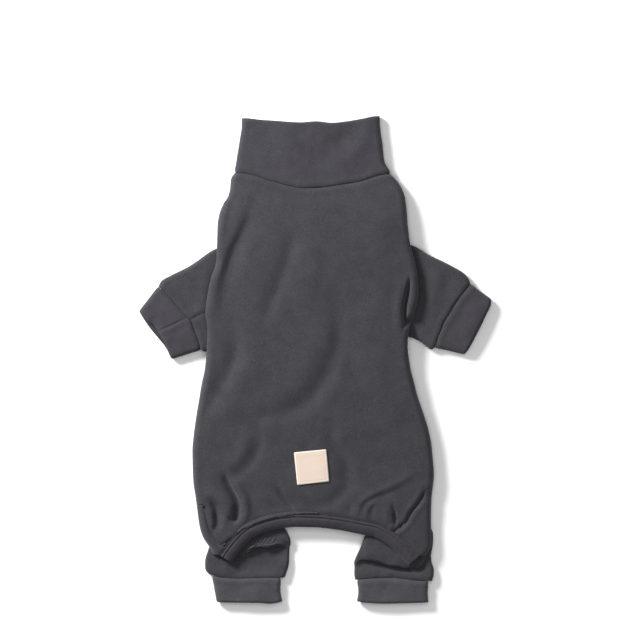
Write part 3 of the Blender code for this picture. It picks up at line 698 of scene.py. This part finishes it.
def lofted(runs, rows, columns):
    """A sheet of points through runs across it, smooth both along them and from one to the next."""
    even = np.stack([run_through(run, columns) for run in runs])
    gaps = np.linalg.norm(np.diff(even, axis=0), axis=2).mean(axis=1)
    keys = np.concatenate(([0.0], np.cumsum(gaps)))
    at = np.linspace(0.0, keys[-1], rows)
    flat = even.reshape(len(runs), -1)
    sheet = np.stack([curve(keys, flat[:, k], at) for k in range(flat.shape[1])], axis=1)
    return sheet.reshape(rows, columns, -1)


def drawn_in(sheet, inset):
    """The same sheet, its two side edges moved inward by inset along each row."""
    moved = np.empty_like(sheet)
    share = np.linspace(0.0, 1.0, sheet.shape[1])
    for i, row in enumerate(sheet):
        length = np.concatenate(([0.0], np.cumsum(np.linalg.norm(np.diff(row, axis=0), axis=1))))
        at = inset + (length[-1] - 2 * inset) * share
        moved[i] = np.stack([np.interp(at, length, row[:, k]) for k in range(row.shape[1])], axis=1)
    return moved


def tube(top, bottom, end_steps=9):
    """Rings through a top layer and the layer under it, rounded where they meet at the sides."""
    arcs = []
    for end, before in ((-1, -2), (0, 1)):
        middle = (top[:, end] + bottom[:, end]) / 2
        half = (top[:, end] - bottom[:, end]) / 2
        out = bottom[:, end] - bottom[:, before]
        out[:, 2] = 0.0
        out /= np.linalg.norm(out, axis=1, keepdims=True)
        radius = np.abs(half[:, 2:3])
        turns = math.pi * np.arange(1, end_steps) / end_steps
        arc = [middle + half * math.cos(turn) + out * radius * math.sin(turn) for turn in turns]
        arcs.append(np.stack(arc, axis=1))
    return np.concatenate([top, arcs[0], bottom[:, ::-1], arcs[1][:, ::-1]], axis=1)


def lip(distance):
    """The folded edge of a doubled piece turns down softly."""
    return -LIP_DROP * np.exp(-((distance / LIP_REACH) ** 2))


def with_height(plan, height):
    """A sheet seen from above, with its heights."""
    return np.concatenate([plan, height[..., None]], axis=2)


def flat_tube(plan, lie, crown, table, seam_at_start=True, seam_at_end=False, lip_at_end=True):
    """The two layers of a flattened tube whose outline is plan, and the seams at its ends."""
    rows, columns = plan.shape[:2]
    upper = drawn_in(plan, lie / 2)
    points = upper.reshape(-1, 2)
    depth = np.linalg.norm(np.diff(upper, axis=0), axis=2)
    start = np.concatenate([np.zeros((1, columns)), np.cumsum(depth, axis=0)]).ravel()
    end = np.tile(start.reshape(rows, columns)[-1], rows) - start
    share = np.tile(np.linspace(-1, 1, columns), rows)
    high = lie + crown * (1 - share**2) + folds(points, table)
    high += slack(points, *TUBE_SLUMP) + slack(points, *FINE_TUBE_SLUMP)
    if seam_at_start:
        high += seam_roll(start + SEAM_START)
    if seam_at_end:
        high += seam_roll(end + SEAM_START)
    if lip_at_end:
        high += lip(end)
    top = turned_in(with_height(upper, high.reshape(rows, columns)), seam_at_start, seam_at_end)
    bottom = turned_in(with_height(upper, np.zeros((rows, columns))), seam_at_start, seam_at_end)
    return top, bottom


collar_plan = lofted(COLLAR_RUNS, COLLAR_ROWS, COLLAR_ACROSS)
collar_top, collar_bottom = flat_tube(collar_plan, COLLAR_LIE, COLLAR_CROWN, COLLAR_FOLD)
collar = cloth("collar_cloth", tube(collar_top, collar_bottom), DOUBLE_FLEECE, ring=True)
cuff_fleece = brushed_fleece("cuff fleece", "313035", "403e44", wale=0.0010)
collar.data.materials.append(cuff_fleece)
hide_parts("collar")
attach(collar, "root")

# Sleeves: short tubes of the fleece that come out from under the sides of the body and end
# in a cuff seam; the left one has its underarm seam on top.
SLEEVE_LIE = 0.0095
SLEEVE_CROWN = 0.0004
SLEEVE_SINK = 0.0012
SLEEVE_RISE = 0.0010
BODY_EDGE = 0.088
BODY_RAMP = 0.03
SLEEVE_ROWS = 70
SLEEVE_ACROSS = 64
SLEEVE_RUNS = {
    LEFT: (
        mm((-81.9, 129.1), (-81.9, 102.7), (-81.9, 71.9), (-81.9, 41.1), (-81.9, 10.3)),
        mm((-107.2, 124.2), (-110.5, 98.3), (-112.7, 69.7), (-112.7, 40.0), (-112.7, 10.7)),
        mm((-139.1, 103.3), (-136.9, 80.7), (-130.3, 58.7), (-122.6, 36.7), (-118.2, 11.4)),
        mm((-157.2, 94.5), (-150.1, 78.5), (-140.2, 60.9), (-131.4, 40.0), (-122.0, 11.6)),
        mm((-167.1, 89.0), (-157.8, 76.3), (-147.3, 62.5), (-138.0, 51.0), (-132.5, 37.8), (-123.7, 12.0)),
        mm(
            (-171.4, 82.7), (-157.2, 67.8), (-148.1, 56.8), (-140.8, 48.8), (-136.2, 45.0),
            (-133.1, 36.8), (-128.9, 25.9), (-124.7, 12.5),
        ),
    ),
    RIGHT: (
        mm((78.7, 133.5), (80.9, 109.3), (80.9, 82.9), (80.9, 56.5), (80.9, 27.9)),
        mm((106.6, 127.8), (108.4, 102.7), (109.0, 78.5), (107.3, 52.1), (102.6, 26.8)),
        mm((127.1, 116.3), (126.0, 91.7), (123.8, 67.5), (120.5, 43.3), (115.6, 22.4)),
        mm((150.7, 104.7), (145.8, 80.7), (139.2, 56.5), (132.1, 34.5), (124.4, 16.0)),
        mm((165.6, 95.4), (159.0, 78.5), (151.3, 63.6), (142.5, 45.5), (134.8, 27.9), (128.8, 13.6)),
        mm(
            (171.8, 85.5), (156.8, 65.9), (149.7, 54.3), (142.9, 43.3), (138.9, 33.5), (135.9, 26.8),
            (132.4, 14.9),
        ),
    ),
}
SLEEVE_FOLD = {
    LEFT: (
        (
            "body shadow valley", 7, 7, -1.6,
            (
                (-101.7, 109.3), (-110.5, 78.5), (-114.9, 54.3), (-113.8, 23.5),
            ),
        ),
        ("underarm seam", 1.2, 1.2, -1.2, ((-141.3, 45.0), (-136.3, 45.5), (-129.9, 49.6), (-119.3, 53.6))),
        ("underarm ridge", 4, 4, 0.9, ((-139.1, 51.0), (-129.2, 55.4), (-118.2, 60.9))),
        ("slack valley", 6, 8, -1.1, ((-152.3, 85.1), (-141.3, 70.8), (-129.2, 60.9))),
    ),
    RIGHT: (
        ("body shadow valley", 8, 8, -1.1, ((113.9, 113.7), (120.5, 87.3), (118.3, 56.5), (109.5, 32.3))),
        ("slack valley", 7, 7, -0.9, ((151.3, 93.9), (142.5, 74.1), (133.7, 49.9))),
        ("slack ridge", 8, 8, 0.9, ((138.1, 100.5), (132.6, 76.3), (127.1, 47.7))),
    ),
}


def sleeve(side):
    """One sleeve, pressed lower where it lies under the body."""
    plan = lofted(SLEEVE_RUNS[side], SLEEVE_ROWS, SLEEVE_ACROSS)
    seams = {"seam_at_start": False, "seam_at_end": True, "lip_at_end": False}
    top, bottom = flat_tube(plan, SLEEVE_LIE, SLEEVE_CROWN, SLEEVE_FOLD[side], **seams)
    clear_of_body = np.clip((np.abs(top[..., 0]) - BODY_EDGE) / BODY_RAMP, 0.0, 1.0)
    lowered = SLEEVE_LIE - SLEEVE_SINK
    top[..., 2] = lowered + (top[..., 2] + SLEEVE_RISE - lowered) * clear_of_body
    piece = cloth(named("sleeve_cloth", side), tube(top, bottom), FLEECE, ring=True)
    piece.data.materials.append(fleece)
    return piece


for side, node in ((LEFT, "sleeve_left"), (RIGHT, "sleeve_right")):
    piece = sleeve(side)
    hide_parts(node)
    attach(piece, "root")

# Sleeve cuffs: doubled tubes with an open mouth; the left one shows the dark inside between
# its near and its far lip, and the seam that closes its tube.
CUFF_LIE = 0.0105
CUFF_CROWN = 0.0012
CUFF_ROWS = 44
CUFF_ACROSS = 72
CUFF_RUNS = {
    LEFT: (
        SLEEVE_RUNS[LEFT][-1] + mm((-0.30, -0.15)),
        mm(
            (-193.1, 55.6), (-189.2, 50.4), (-184.6, 45.5), (-178.2, 41.3), (-173.7, 35.9), (-168.2, 26.8),
            (-163.6, 17.7), (-158.6, 5.2), (-156.4, 2.6),
        ),
    ),
    RIGHT: (
        SLEEVE_RUNS[RIGHT][-1] + mm((0.30, -0.15)),
        mm((193.8, 68.4), (193.6, 63.5), (188.1, 51.0), (176.2, 26.8), (166.6, 10.5), (163.9, 8.5)),
    ),
}
FAR_LIP = {
    LEFT: mm(
        (-193.3, 55.4), (-189.9, 49.9), (-185.7, 43.3), (-181.1, 36.7), (-175.6, 30.1), (-170.1, 23.5),
        (-164.8, 16.9),
        (-160.8, 10.3), (-156.9, 2.6),
    ),
    RIGHT: mm((194.0, 68.6), (194.2, 64.2), (188.7, 50.8), (176.9, 26.6), (167.2, 10.3), (164.5, 8.3)),
}
CUFF_FOLD = {
    LEFT: (
        ("tube seam", 1.1, 1.1, -1.1, ((-139.1, 48.6), (-147.9, 44.2), (-155.6, 40.4), (-172.1, 32.9))),
        ("seam fullness", 3.6, 3.6, 0.7, ((-143.5, 42.2), (-156.7, 35.6), (-169.9, 30.1))),
        ("mouth dip", 7, 7, -1.6, ((-180.9, 47.7), (-174.3, 40.0), (-167.7, 31.2))),
    ),
    RIGHT: (
        ("soft valley", 9, 9, -1.0, ((168.9, 67.5), (161.2, 52.1), (151.3, 30.1))),
        ("soft ridge", 7, 7, 0.7, ((183.2, 64.2), (175.5, 45.5), (164.5, 23.5))),
    ),
}


def sleeve_cuff(side):
    """One cuff, its far layer ending at the far lip of the mouth."""
    near = lofted(CUFF_RUNS[side], CUFF_ROWS, CUFF_ACROSS)
    far = lofted((CUFF_RUNS[side][0], FAR_LIP[side]), CUFF_ROWS, CUFF_ACROSS)
    top, _ = flat_tube(near, CUFF_LIE, CUFF_CROWN, CUFF_FOLD[side])
    under = drawn_in(far, CUFF_LIE / 2)
    bottom = turned_in(with_height(under, np.zeros(under.shape[:2])))
    piece = cloth(named("sleeve_cuff_cloth", side), tube(top, bottom), DOUBLE_FLEECE, ring=True)
    piece.data.materials.append(cuff_fleece)
    return piece


for side, node in ((LEFT, "sleeve_cuff_left"), (RIGHT, "sleeve_cuff_right")):
    piece = sleeve_cuff(side)
    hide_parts(node)
    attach(piece, "root")

# Legs: short tubes from the rear of the body, squashed so that their upper layer laps over
# itself; where the left one laps, the overlocked seam allowance shows.
LEG_ROWS = 84
LEG_ACROSS = 96
LEG_SEAM_DEPTH = 0.6
LEG_SLUMP = (0.014, 0.0007, 6.0)
FINE_LEG_SLUMP = (0.006, 0.0003, 9.0)
THREAD_TOUCH = 0.0012
OVERLOCK_THREAD = 0.0006
LEG_PROFILES = {
    LEFT: (
        mm(
            (-110.5, -202.0, 7.5), (-113.1, -208.6, 8.0), (-114.9, -214.1, 8.2), (-115.7, -217.4, 8.4),
            (-116.2, -221.8, 8.6), (-116.0, -228.4, 8.8), (-112.2, -235.0, 8.9),
        ),
        mm(
            (-96.2, -207.5, 6.4), (-97.3, -215.2, 7.0), (-97.9, -218.5, 8.8), (-98.4, -220.7, 8.9),
            (-98.6, -224.0, 9.2), (-98.8, -229.5, 9.8), (-98.9, -238.1, 9.2),
        ),
        mm(
            (-81.9, -202.0, 5.6), (-81.9, -210.8, 6.0), (-81.3, -216.8, 7.6), (-81.9, -214.3, 5.4),
            (-81.9, -219.1, 4.4), (-81.9, -226.2, 5.6), (-81.9, -238.6, 8.8),
        ),
        mm(
            (-67.6, -191.0, 6.2), (-67.6, -198.7, 7.4), (-67.6, -206.3, 10.2), (-67.6, -201.6, 5.0),
            (-67.6, -210.8, 4.2), (-66.5, -224.0, 5.0), (-67.6, -238.2, 8.8),
        ),
        mm(
            (-51.1, -178.9, 6.4), (-51.1, -193.2, 8.4), (-51.1, -204.7, 11.2), (-51.1, -199.2, 5.0),
            (-51.1, -210.3, 4.2), (-51.1, -222.9, 5.0), (-52.2, -237.7, 8.8),
        ),
        mm(
            (-37.9, -176.7, 6.8), (-37.9, -189.9, 9.2), (-37.9, -202.2, 10.2), (-37.9, -198.1, 5.6),
            (-37.9, -207.5, 5.0), (-37.9, -222.9, 6.8), (-40.1, -237.9, 8.8),
        ),
        mm(
            (-31.3, -185.5, 7.8), (-29.5, -192.1, 9.0), (-29.2, -197.8, 8.8), (-29.5, -200.3, 7.4),
            (-29.9, -206.4, 6.6), (-31.5, -220.7, 7.8), (-37.3, -237.9, 8.6),
        ),
    ),
    RIGHT: (
        mm(
            (56.7, -189.9, 7.8), (53.4, -202.0, 8.8), (49.0, -215.2, 9.2), (47.5, -220.3, 8.6),
            (47.3, -222.5, 7.4), (47.2, -225.7, 6.6), (47.7, -231.7, 8.4), (48.8, -239.9, 8.8),
        ),
        mm(
            (61.1, -183.3, 8.0), (58.9, -196.5, 10.5), (58.1, -210.8, 11.0), (58.5, -218.3, 10.4),
            (58.3, -215.4, 6.8), (58.3, -221.3, 5.6), (58.3, -230.6, 8.8), (58.5, -239.0, 9.2),
        ),
        mm(
            (73.2, -186.6, 8.0), (72.1, -199.8, 10.8), (71.0, -213.0, 11.2), (70.5, -220.5, 10.6),
            (70.5, -217.0, 6.8), (70.5, -223.6, 5.2), (70.5, -231.7, 8.6), (69.9, -238.3, 9.2),
        ),
        mm(
            (87.5, -196.5, 8.0), (86.4, -206.4, 10.6), (85.9, -216.9, 11.2), (85.3, -224.9, 10.4),
            (85.3, -221.2, 6.8), (85.3, -227.3, 5.4), (85.3, -233.4, 8.6), (85.3, -238.1, 9.2),
        ),
        mm(
            (101.8, -207.5, 8.0), (101.3, -214.1, 10.4), (100.7, -220.7, 11.0), (100.7, -227.2, 10.2),
            (100.7, -223.8, 6.8), (100.7, -229.5, 5.6), (100.7, -235.0, 8.8), (100.7, -239.4, 9.2),
        ),
        mm(
            (113.9, -214.1, 8.0), (113.9, -218.0, 10.0), (113.9, -222.4, 10.6), (113.9, -227.3, 10.0),
            (113.9, -224.2, 7.0), (113.9, -229.3, 6.0), (113.9, -235.2, 8.8), (113.9, -241.2, 9.2),
        ),
        mm(
            (125.8, -184.4, 7.4), (128.5, -193.2, 8.4), (128.0, -203.1, 9.0), (125.8, -215.2, 9.2),
            (125.8, -215.9, 7.4), (126.0, -221.8, 7.4), (127.4, -231.7, 8.4), (125.4, -241.4, 8.8),
        ),
    ),
}
FLAP_THREADS = (
    ((-59.9, -192.6), (-65.9, -201.4)),
    ((-55.5, -191.2), (-62.1, -200.7)),
    ((-51.1, -190.6), (-57.7, -200.3)),
    ((-46.7, -191.0), (-53.3, -200.5)),
    ((-42.3, -192.1), (-48.3, -200.7)),
)


def leg(side):
    """One leg with its lapped upper layer, and that layer for the threads to lie on."""
    profiles = np.stack(LEG_PROFILES[side])
    top = lofted(profiles, LEG_ACROSS, LEG_ROWS).transpose(1, 0, 2)
    plan = top.reshape(-1, 3)[:, :2]
    loose = slack(plan, *LEG_SLUMP) + slack(plan, *FINE_LEG_SLUMP)
    top[..., 2] += loose.reshape(top.shape[:2])
    end = np.linalg.norm(top - top[-1:], axis=2)
    top[..., 2] += LEG_SEAM_DEPTH * seam_roll(end + SEAM_START)
    share = np.linspace(0.0, 1.0, LEG_ROWS)[:, None]
    bottom = top[:1] * (1 - share[..., None]) + top[-1:] * share[..., None]
    for column in (0, -1):
        edge = top[:, column].copy()
        edge[:, 1] = np.minimum.accumulate(edge[:, 1])
        drift = edge - bottom[:, column]
        weight = np.linspace(1, 0, LEG_ACROSS) if column == 0 else np.linspace(0, 1, LEG_ACROSS)
        bottom[..., :2] += drift[:, None, :2] * (weight**4)[None, :, None]
    bottom[..., 2] = 0.0
    top, bottom = turned_in(top, False, True), turned_in(bottom, False, True)
    piece = cloth(named("leg_cloth", side), tube(top, bottom), FLEECE, ring=True)
    piece.data.materials.append(fleece)
    return piece, top


def nearest_height(sheet, x, y):
    """Height of a sheet at a place: its highest layer close by, or else its nearest point."""
    flat = sheet.reshape(-1, 3)
    away = np.hypot(flat[:, 0] - x, flat[:, 1] - y)
    close = away < THREAD_TOUCH
    return flat[close, 2].max() if close.any() else flat[np.argmin(away), 2]


def overlock(name, sheet, spans, thick, colour):
    """Slanting overlock threads laid on a sheet, as one piece."""
    made = []
    for k, (a, b) in enumerate(spans):
        ends = mm(a, b)
        line = ends[0] + (ends[1] - ends[0]) * np.linspace(0, 1, 8)[:, None]
        path = np.array([(x, y, nearest_height(sheet, x, y) + thick / 3) for x, y in line])
        pitch = np.linalg.norm(path[-1, :2] - path[0, :2]) * 0.98
        made.append(stitches(f"{name}_{k}", path, pitch, thick, colour))
    bpy.ops.object.select_all(action="DESELECT")
    for piece in made:
        piece.select_set(True)
    bpy.context.view_layer.objects.active = made[0]
    bpy.ops.object.join()
    made[0].name = name
    return made[0]


for side, node in ((LEFT, "leg_left"), (RIGHT, "leg_right")):
    piece, layer = leg(side)
    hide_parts(node)
    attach(piece, "root")
    if side == LEFT:
        ladder = overlock("overlock_threads", layer, FLAP_THREADS, OVERLOCK_THREAD, "4d4b51")
        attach(ladder, "root")

# Leg cuffs: doubled tubes of the fleece, sewn on below the legs, flat and open at the lower
# end, and a little lighter than the body.
LEG_CUFF_LIE = 0.0105
LEG_CUFF_CROWN = 0.0006
LEG_CUFF_RUNS = {
    LEFT: (
        mm(
            (-112.7, -236.1), (-98.9, -238.4), (-81.9, -239.0), (-67.6, -238.5), (-52.2, -238.0),
            (-36.8, -238.2),
        ),
        mm((-110.5, -249.3), (-86.3, -250.4), (-62.1, -250.9), (-37.3, -250.4)),
        mm(
            (-107.6, -263.8), (-101.7, -265.2), (-81.9, -265.5), (-62.6, -265.7), (-50.0, -266.6),
            (-39.5, -265.2), (-36.1, -261.9),
        ),
    ),
    RIGHT: (
        mm(
            (46.8, -240.2), (58.5, -239.3), (69.9, -238.6), (85.3, -238.4), (100.7, -239.7),
            (113.9, -241.5), (125.2, -241.8),
        ),
        mm((48.2, -251.5), (72.1, -251.1), (98.5, -251.7), (124.8, -252.6)),
        mm(
            (48.0, -261.4), (50.6, -264.7), (62.2, -266.0), (75.9, -266.6), (99.6, -266.1),
            (121.0, -265.4), (124.4, -261.9),
        ),
    ),
}
LEG_CUFF_FOLD = {
    LEFT: (
        ("soft valley", 7, 7, -0.8, ((-86.3, -242.7), (-84.1, -253.7), (-86.3, -263.6))),
        ("soft ridge", 8, 8, 0.7, ((-62.1, -243.8), (-61.0, -253.7), (-61.0, -263.6))),
    ),
    RIGHT: (
        ("soft valley", 7, 7, -0.9, ((78.7, -242.7), (76.5, -253.7), (78.7, -263.6))),
        ("soft ridge", 8, 8, 0.6, ((102.9, -243.8), (104.0, -253.7), (102.9, -263.6))),
    ),
}
leg_cuff_fleece = brushed_fleece("leg cuff fleece", "39383d", "4a494e", wale=0.0010)


def leg_cuff(side):
    """One cuff, laid flat."""
    plan = lofted(LEG_CUFF_RUNS[side], CUFF_ROWS, CUFF_ACROSS)
    top, bottom = flat_tube(plan, LEG_CUFF_LIE, LEG_CUFF_CROWN, LEG_CUFF_FOLD[side])
    piece = cloth(named("leg_cuff_cloth", side), tube(top, bottom), DOUBLE_FLEECE, ring=True)
    piece.data.materials.append(leg_cuff_fleece)
    return piece


for side, node in ((LEFT, "leg_cuff_left"), (RIGHT, "leg_cuff_right")):
    piece = leg_cuff(side)
    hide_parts(node)
    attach(piece, "root")

# Label patch: a square of smooth nude leather on the lower back, its pressed edge lighter,
# left bare.
PATCH_CORNERS = mm((-22.6, -100.2), (13.1, -96.7), (16.3, -132.2), (-18.9, -136.2))
PATCH_WALL = 0.0014
PATCH_STEPS = 56
PATCH_EDGE = 0.0016
PATCH_CORNER = 0.0012
PATCH_STRIDE = 11
PATCH_LIFT = 0.0019
PATCH_ROUND = 0.0007
PRESS_DEPTH = 0.00022
PRESS_INSET = 0.0024
PRESS_REACH = 0.0005
share = np.linspace(0.0, 1.0, PATCH_STEPS)
upper_side = PATCH_CORNERS[0] + (PATCH_CORNERS[1] - PATCH_CORNERS[0]) * share[:, None]
lower_side = PATCH_CORNERS[3] + (PATCH_CORNERS[2] - PATCH_CORNERS[3]) * share[:, None]
patch_plan = upper_side[None] * (1 - share)[:, None, None] + lower_side[None] * share[:, None, None]
coarse = patch_plan[::PATCH_STRIDE, ::PATCH_STRIDE]
coarse_high = body_top(coarse.reshape(-1, 2)).reshape(*coarse.shape[:2], 1)
patch_sheet = lofted(np.concatenate([coarse, coarse_high], axis=2), PATCH_STEPS, PATCH_STEPS)
side_length = np.linalg.norm(PATCH_CORNERS[1] - PATCH_CORNERS[0])
inward = np.minimum(share, 1 - share) * side_length
across_in, down_in = np.meshgrid(inward, inward)
from_edge = np.minimum(across_in, down_in)
into_corner = [np.clip(PATCH_CORNER - inset, 0, None) for inset in (across_in, down_in)]
pull = np.clip(np.hypot(*into_corner) - PATCH_CORNER, 0, None)[..., None]
middle = patch_plan.mean(axis=(0, 1))
toward = middle - patch_plan
toward /= np.linalg.norm(toward, axis=2, keepdims=True) + 1e-9
patch_plan = patch_plan + toward * pull
edge_drop = PATCH_ROUND * np.exp(-((from_edge / PATCH_ROUND) ** 2))
pressed = PRESS_DEPTH * np.exp(-(((from_edge - PRESS_INSET) / PRESS_REACH) ** 2))
patch_high = patch_sheet[..., 2] + PATCH_LIFT - edge_drop - pressed
patch = cloth("patch_leather", with_height(patch_plan, patch_high), PATCH_WALL)


def nude_leather(name):
    """Smooth full-grain leather in nude: fine grain, faint mottling, and a burnished edge."""
    made = bpy.data.materials.new(name)
    made.use_nodes = True
    tree = made.node_tree
    shader = tree.nodes["Principled BSDF"]
    place = add_node(tree, "ShaderNodeTexCoord").outputs["Object"]
    grain = add_node(tree, "ShaderNodeTexVoronoi", Vector=place, Scale=1500.0)
    cloudy = add_node(tree, "ShaderNodeTexNoise", Vector=place, Scale=160.0, Detail=4.0)
    rim = add_node(tree, "ShaderNodeAttribute", {"attribute_name": "rim"})
    colour = add_node(tree, "ShaderNodeMix", {"data_type": "RGBA"})
    tree.links.new(cloudy.outputs["Fac"], colour.inputs["Factor"])
    colour.inputs[6].default_value = srgb("c9b6a7")
    colour.inputs[7].default_value = srgb("d0beb0")
    edge = add_node(tree, "ShaderNodeMix", {"data_type": "RGBA"})
    tree.links.new(rim.outputs["Fac"], edge.inputs["Factor"])
    tree.links.new(colour.outputs[2], edge.inputs[6])
    edge.inputs[7].default_value = srgb("dccfc4")
    tree.links.new(edge.outputs[2], shader.inputs["Base Color"])
    relief = grain.outputs["Distance"]
    bump = add_node(tree, "ShaderNodeBump", Strength=0.5, Distance=0.00008, Height=relief)
    tree.links.new(bump.outputs["Normal"], shader.inputs["Normal"])
    shader.inputs["Roughness"].default_value = 0.52
    shader.inputs["Specular IOR Level"].default_value = 0.35
    return made


across_way = (PATCH_CORNERS[1] - PATCH_CORNERS[0]) / side_length
down_side = PATCH_CORNERS[3] - PATCH_CORNERS[0]
down_way = down_side / np.linalg.norm(down_side)
rim = patch.data.attributes.new("rim", "FLOAT", "POINT")
values = []
for vertex in patch.data.vertices:
    offset = np.array(vertex.co[:2]) - PATCH_CORNERS[0]
    a, d = offset @ across_way, offset @ down_way
    edge = min(a, d, side_length - a, side_length - d)
    values.append(math.exp(-((max(edge, 0.0) / PATCH_EDGE) ** 2)))
rim.data.foreach_set("value", values)
patch.data.materials.append(nude_leather("nude leather"))
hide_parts("label_patch")
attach(patch, "root")

# Stage: white paper under the garment, a large soft window high on its upper left and an
# even white room. The camera looks straight down.
bpy.ops.mesh.primitive_plane_add(size=8.0, location=(0.0, 0.0, -0.0004))
paper = bpy.context.object
paper.name = "white_paper"
matt_paper = bpy.data.materials.new("matt white paper")
matt_paper.use_nodes = True
paper_shader = matt_paper.node_tree.nodes["Principled BSDF"]
paper_shader.inputs["Base Color"].default_value = srgb("ffffff")
paper_shader.inputs["Roughness"].default_value = 0.9
paper.data.materials.append(matt_paper)
for name, place, size, power in (
    ("window", (-1.35, 1.15, 1.05), 0.6, 80.0),
    ("overhead", (0.2, 0.0, 2.4), 1.8, 18.0),
):
    lamp = bpy.data.lights.new(name, "AREA")
    lamp.size = size
    lamp.energy = power
    light = bpy.data.objects.new(name, lamp)
    light.location = place
    to_garment = Vector((0.0, 0.0, 0.0)) - light.location
    light.rotation_euler = to_garment.to_track_quat("-Z", "Y").to_euler()
    bpy.context.scene.collection.objects.link(light)
room = bpy.data.worlds.new("white room")
room.use_nodes = True
background = room.node_tree.nodes["Background"]
background.inputs["Color"].default_value = (1.0, 1.0, 1.0, 1.0)
background.inputs["Strength"].default_value = 0.32
bpy.context.scene.world = room
bpy.context.scene.view_settings.view_transform = "Standard"
lens = bpy.data.cameras.new("camera")
lens.type = "ORTHO"
lens.ortho_scale = 0.704
camera = bpy.data.objects.new("camera", lens)
camera.location = (0.0061, 0.0455, 2.0)
bpy.context.scene.collection.objects.link(camera)
bpy.context.scene.camera = camera
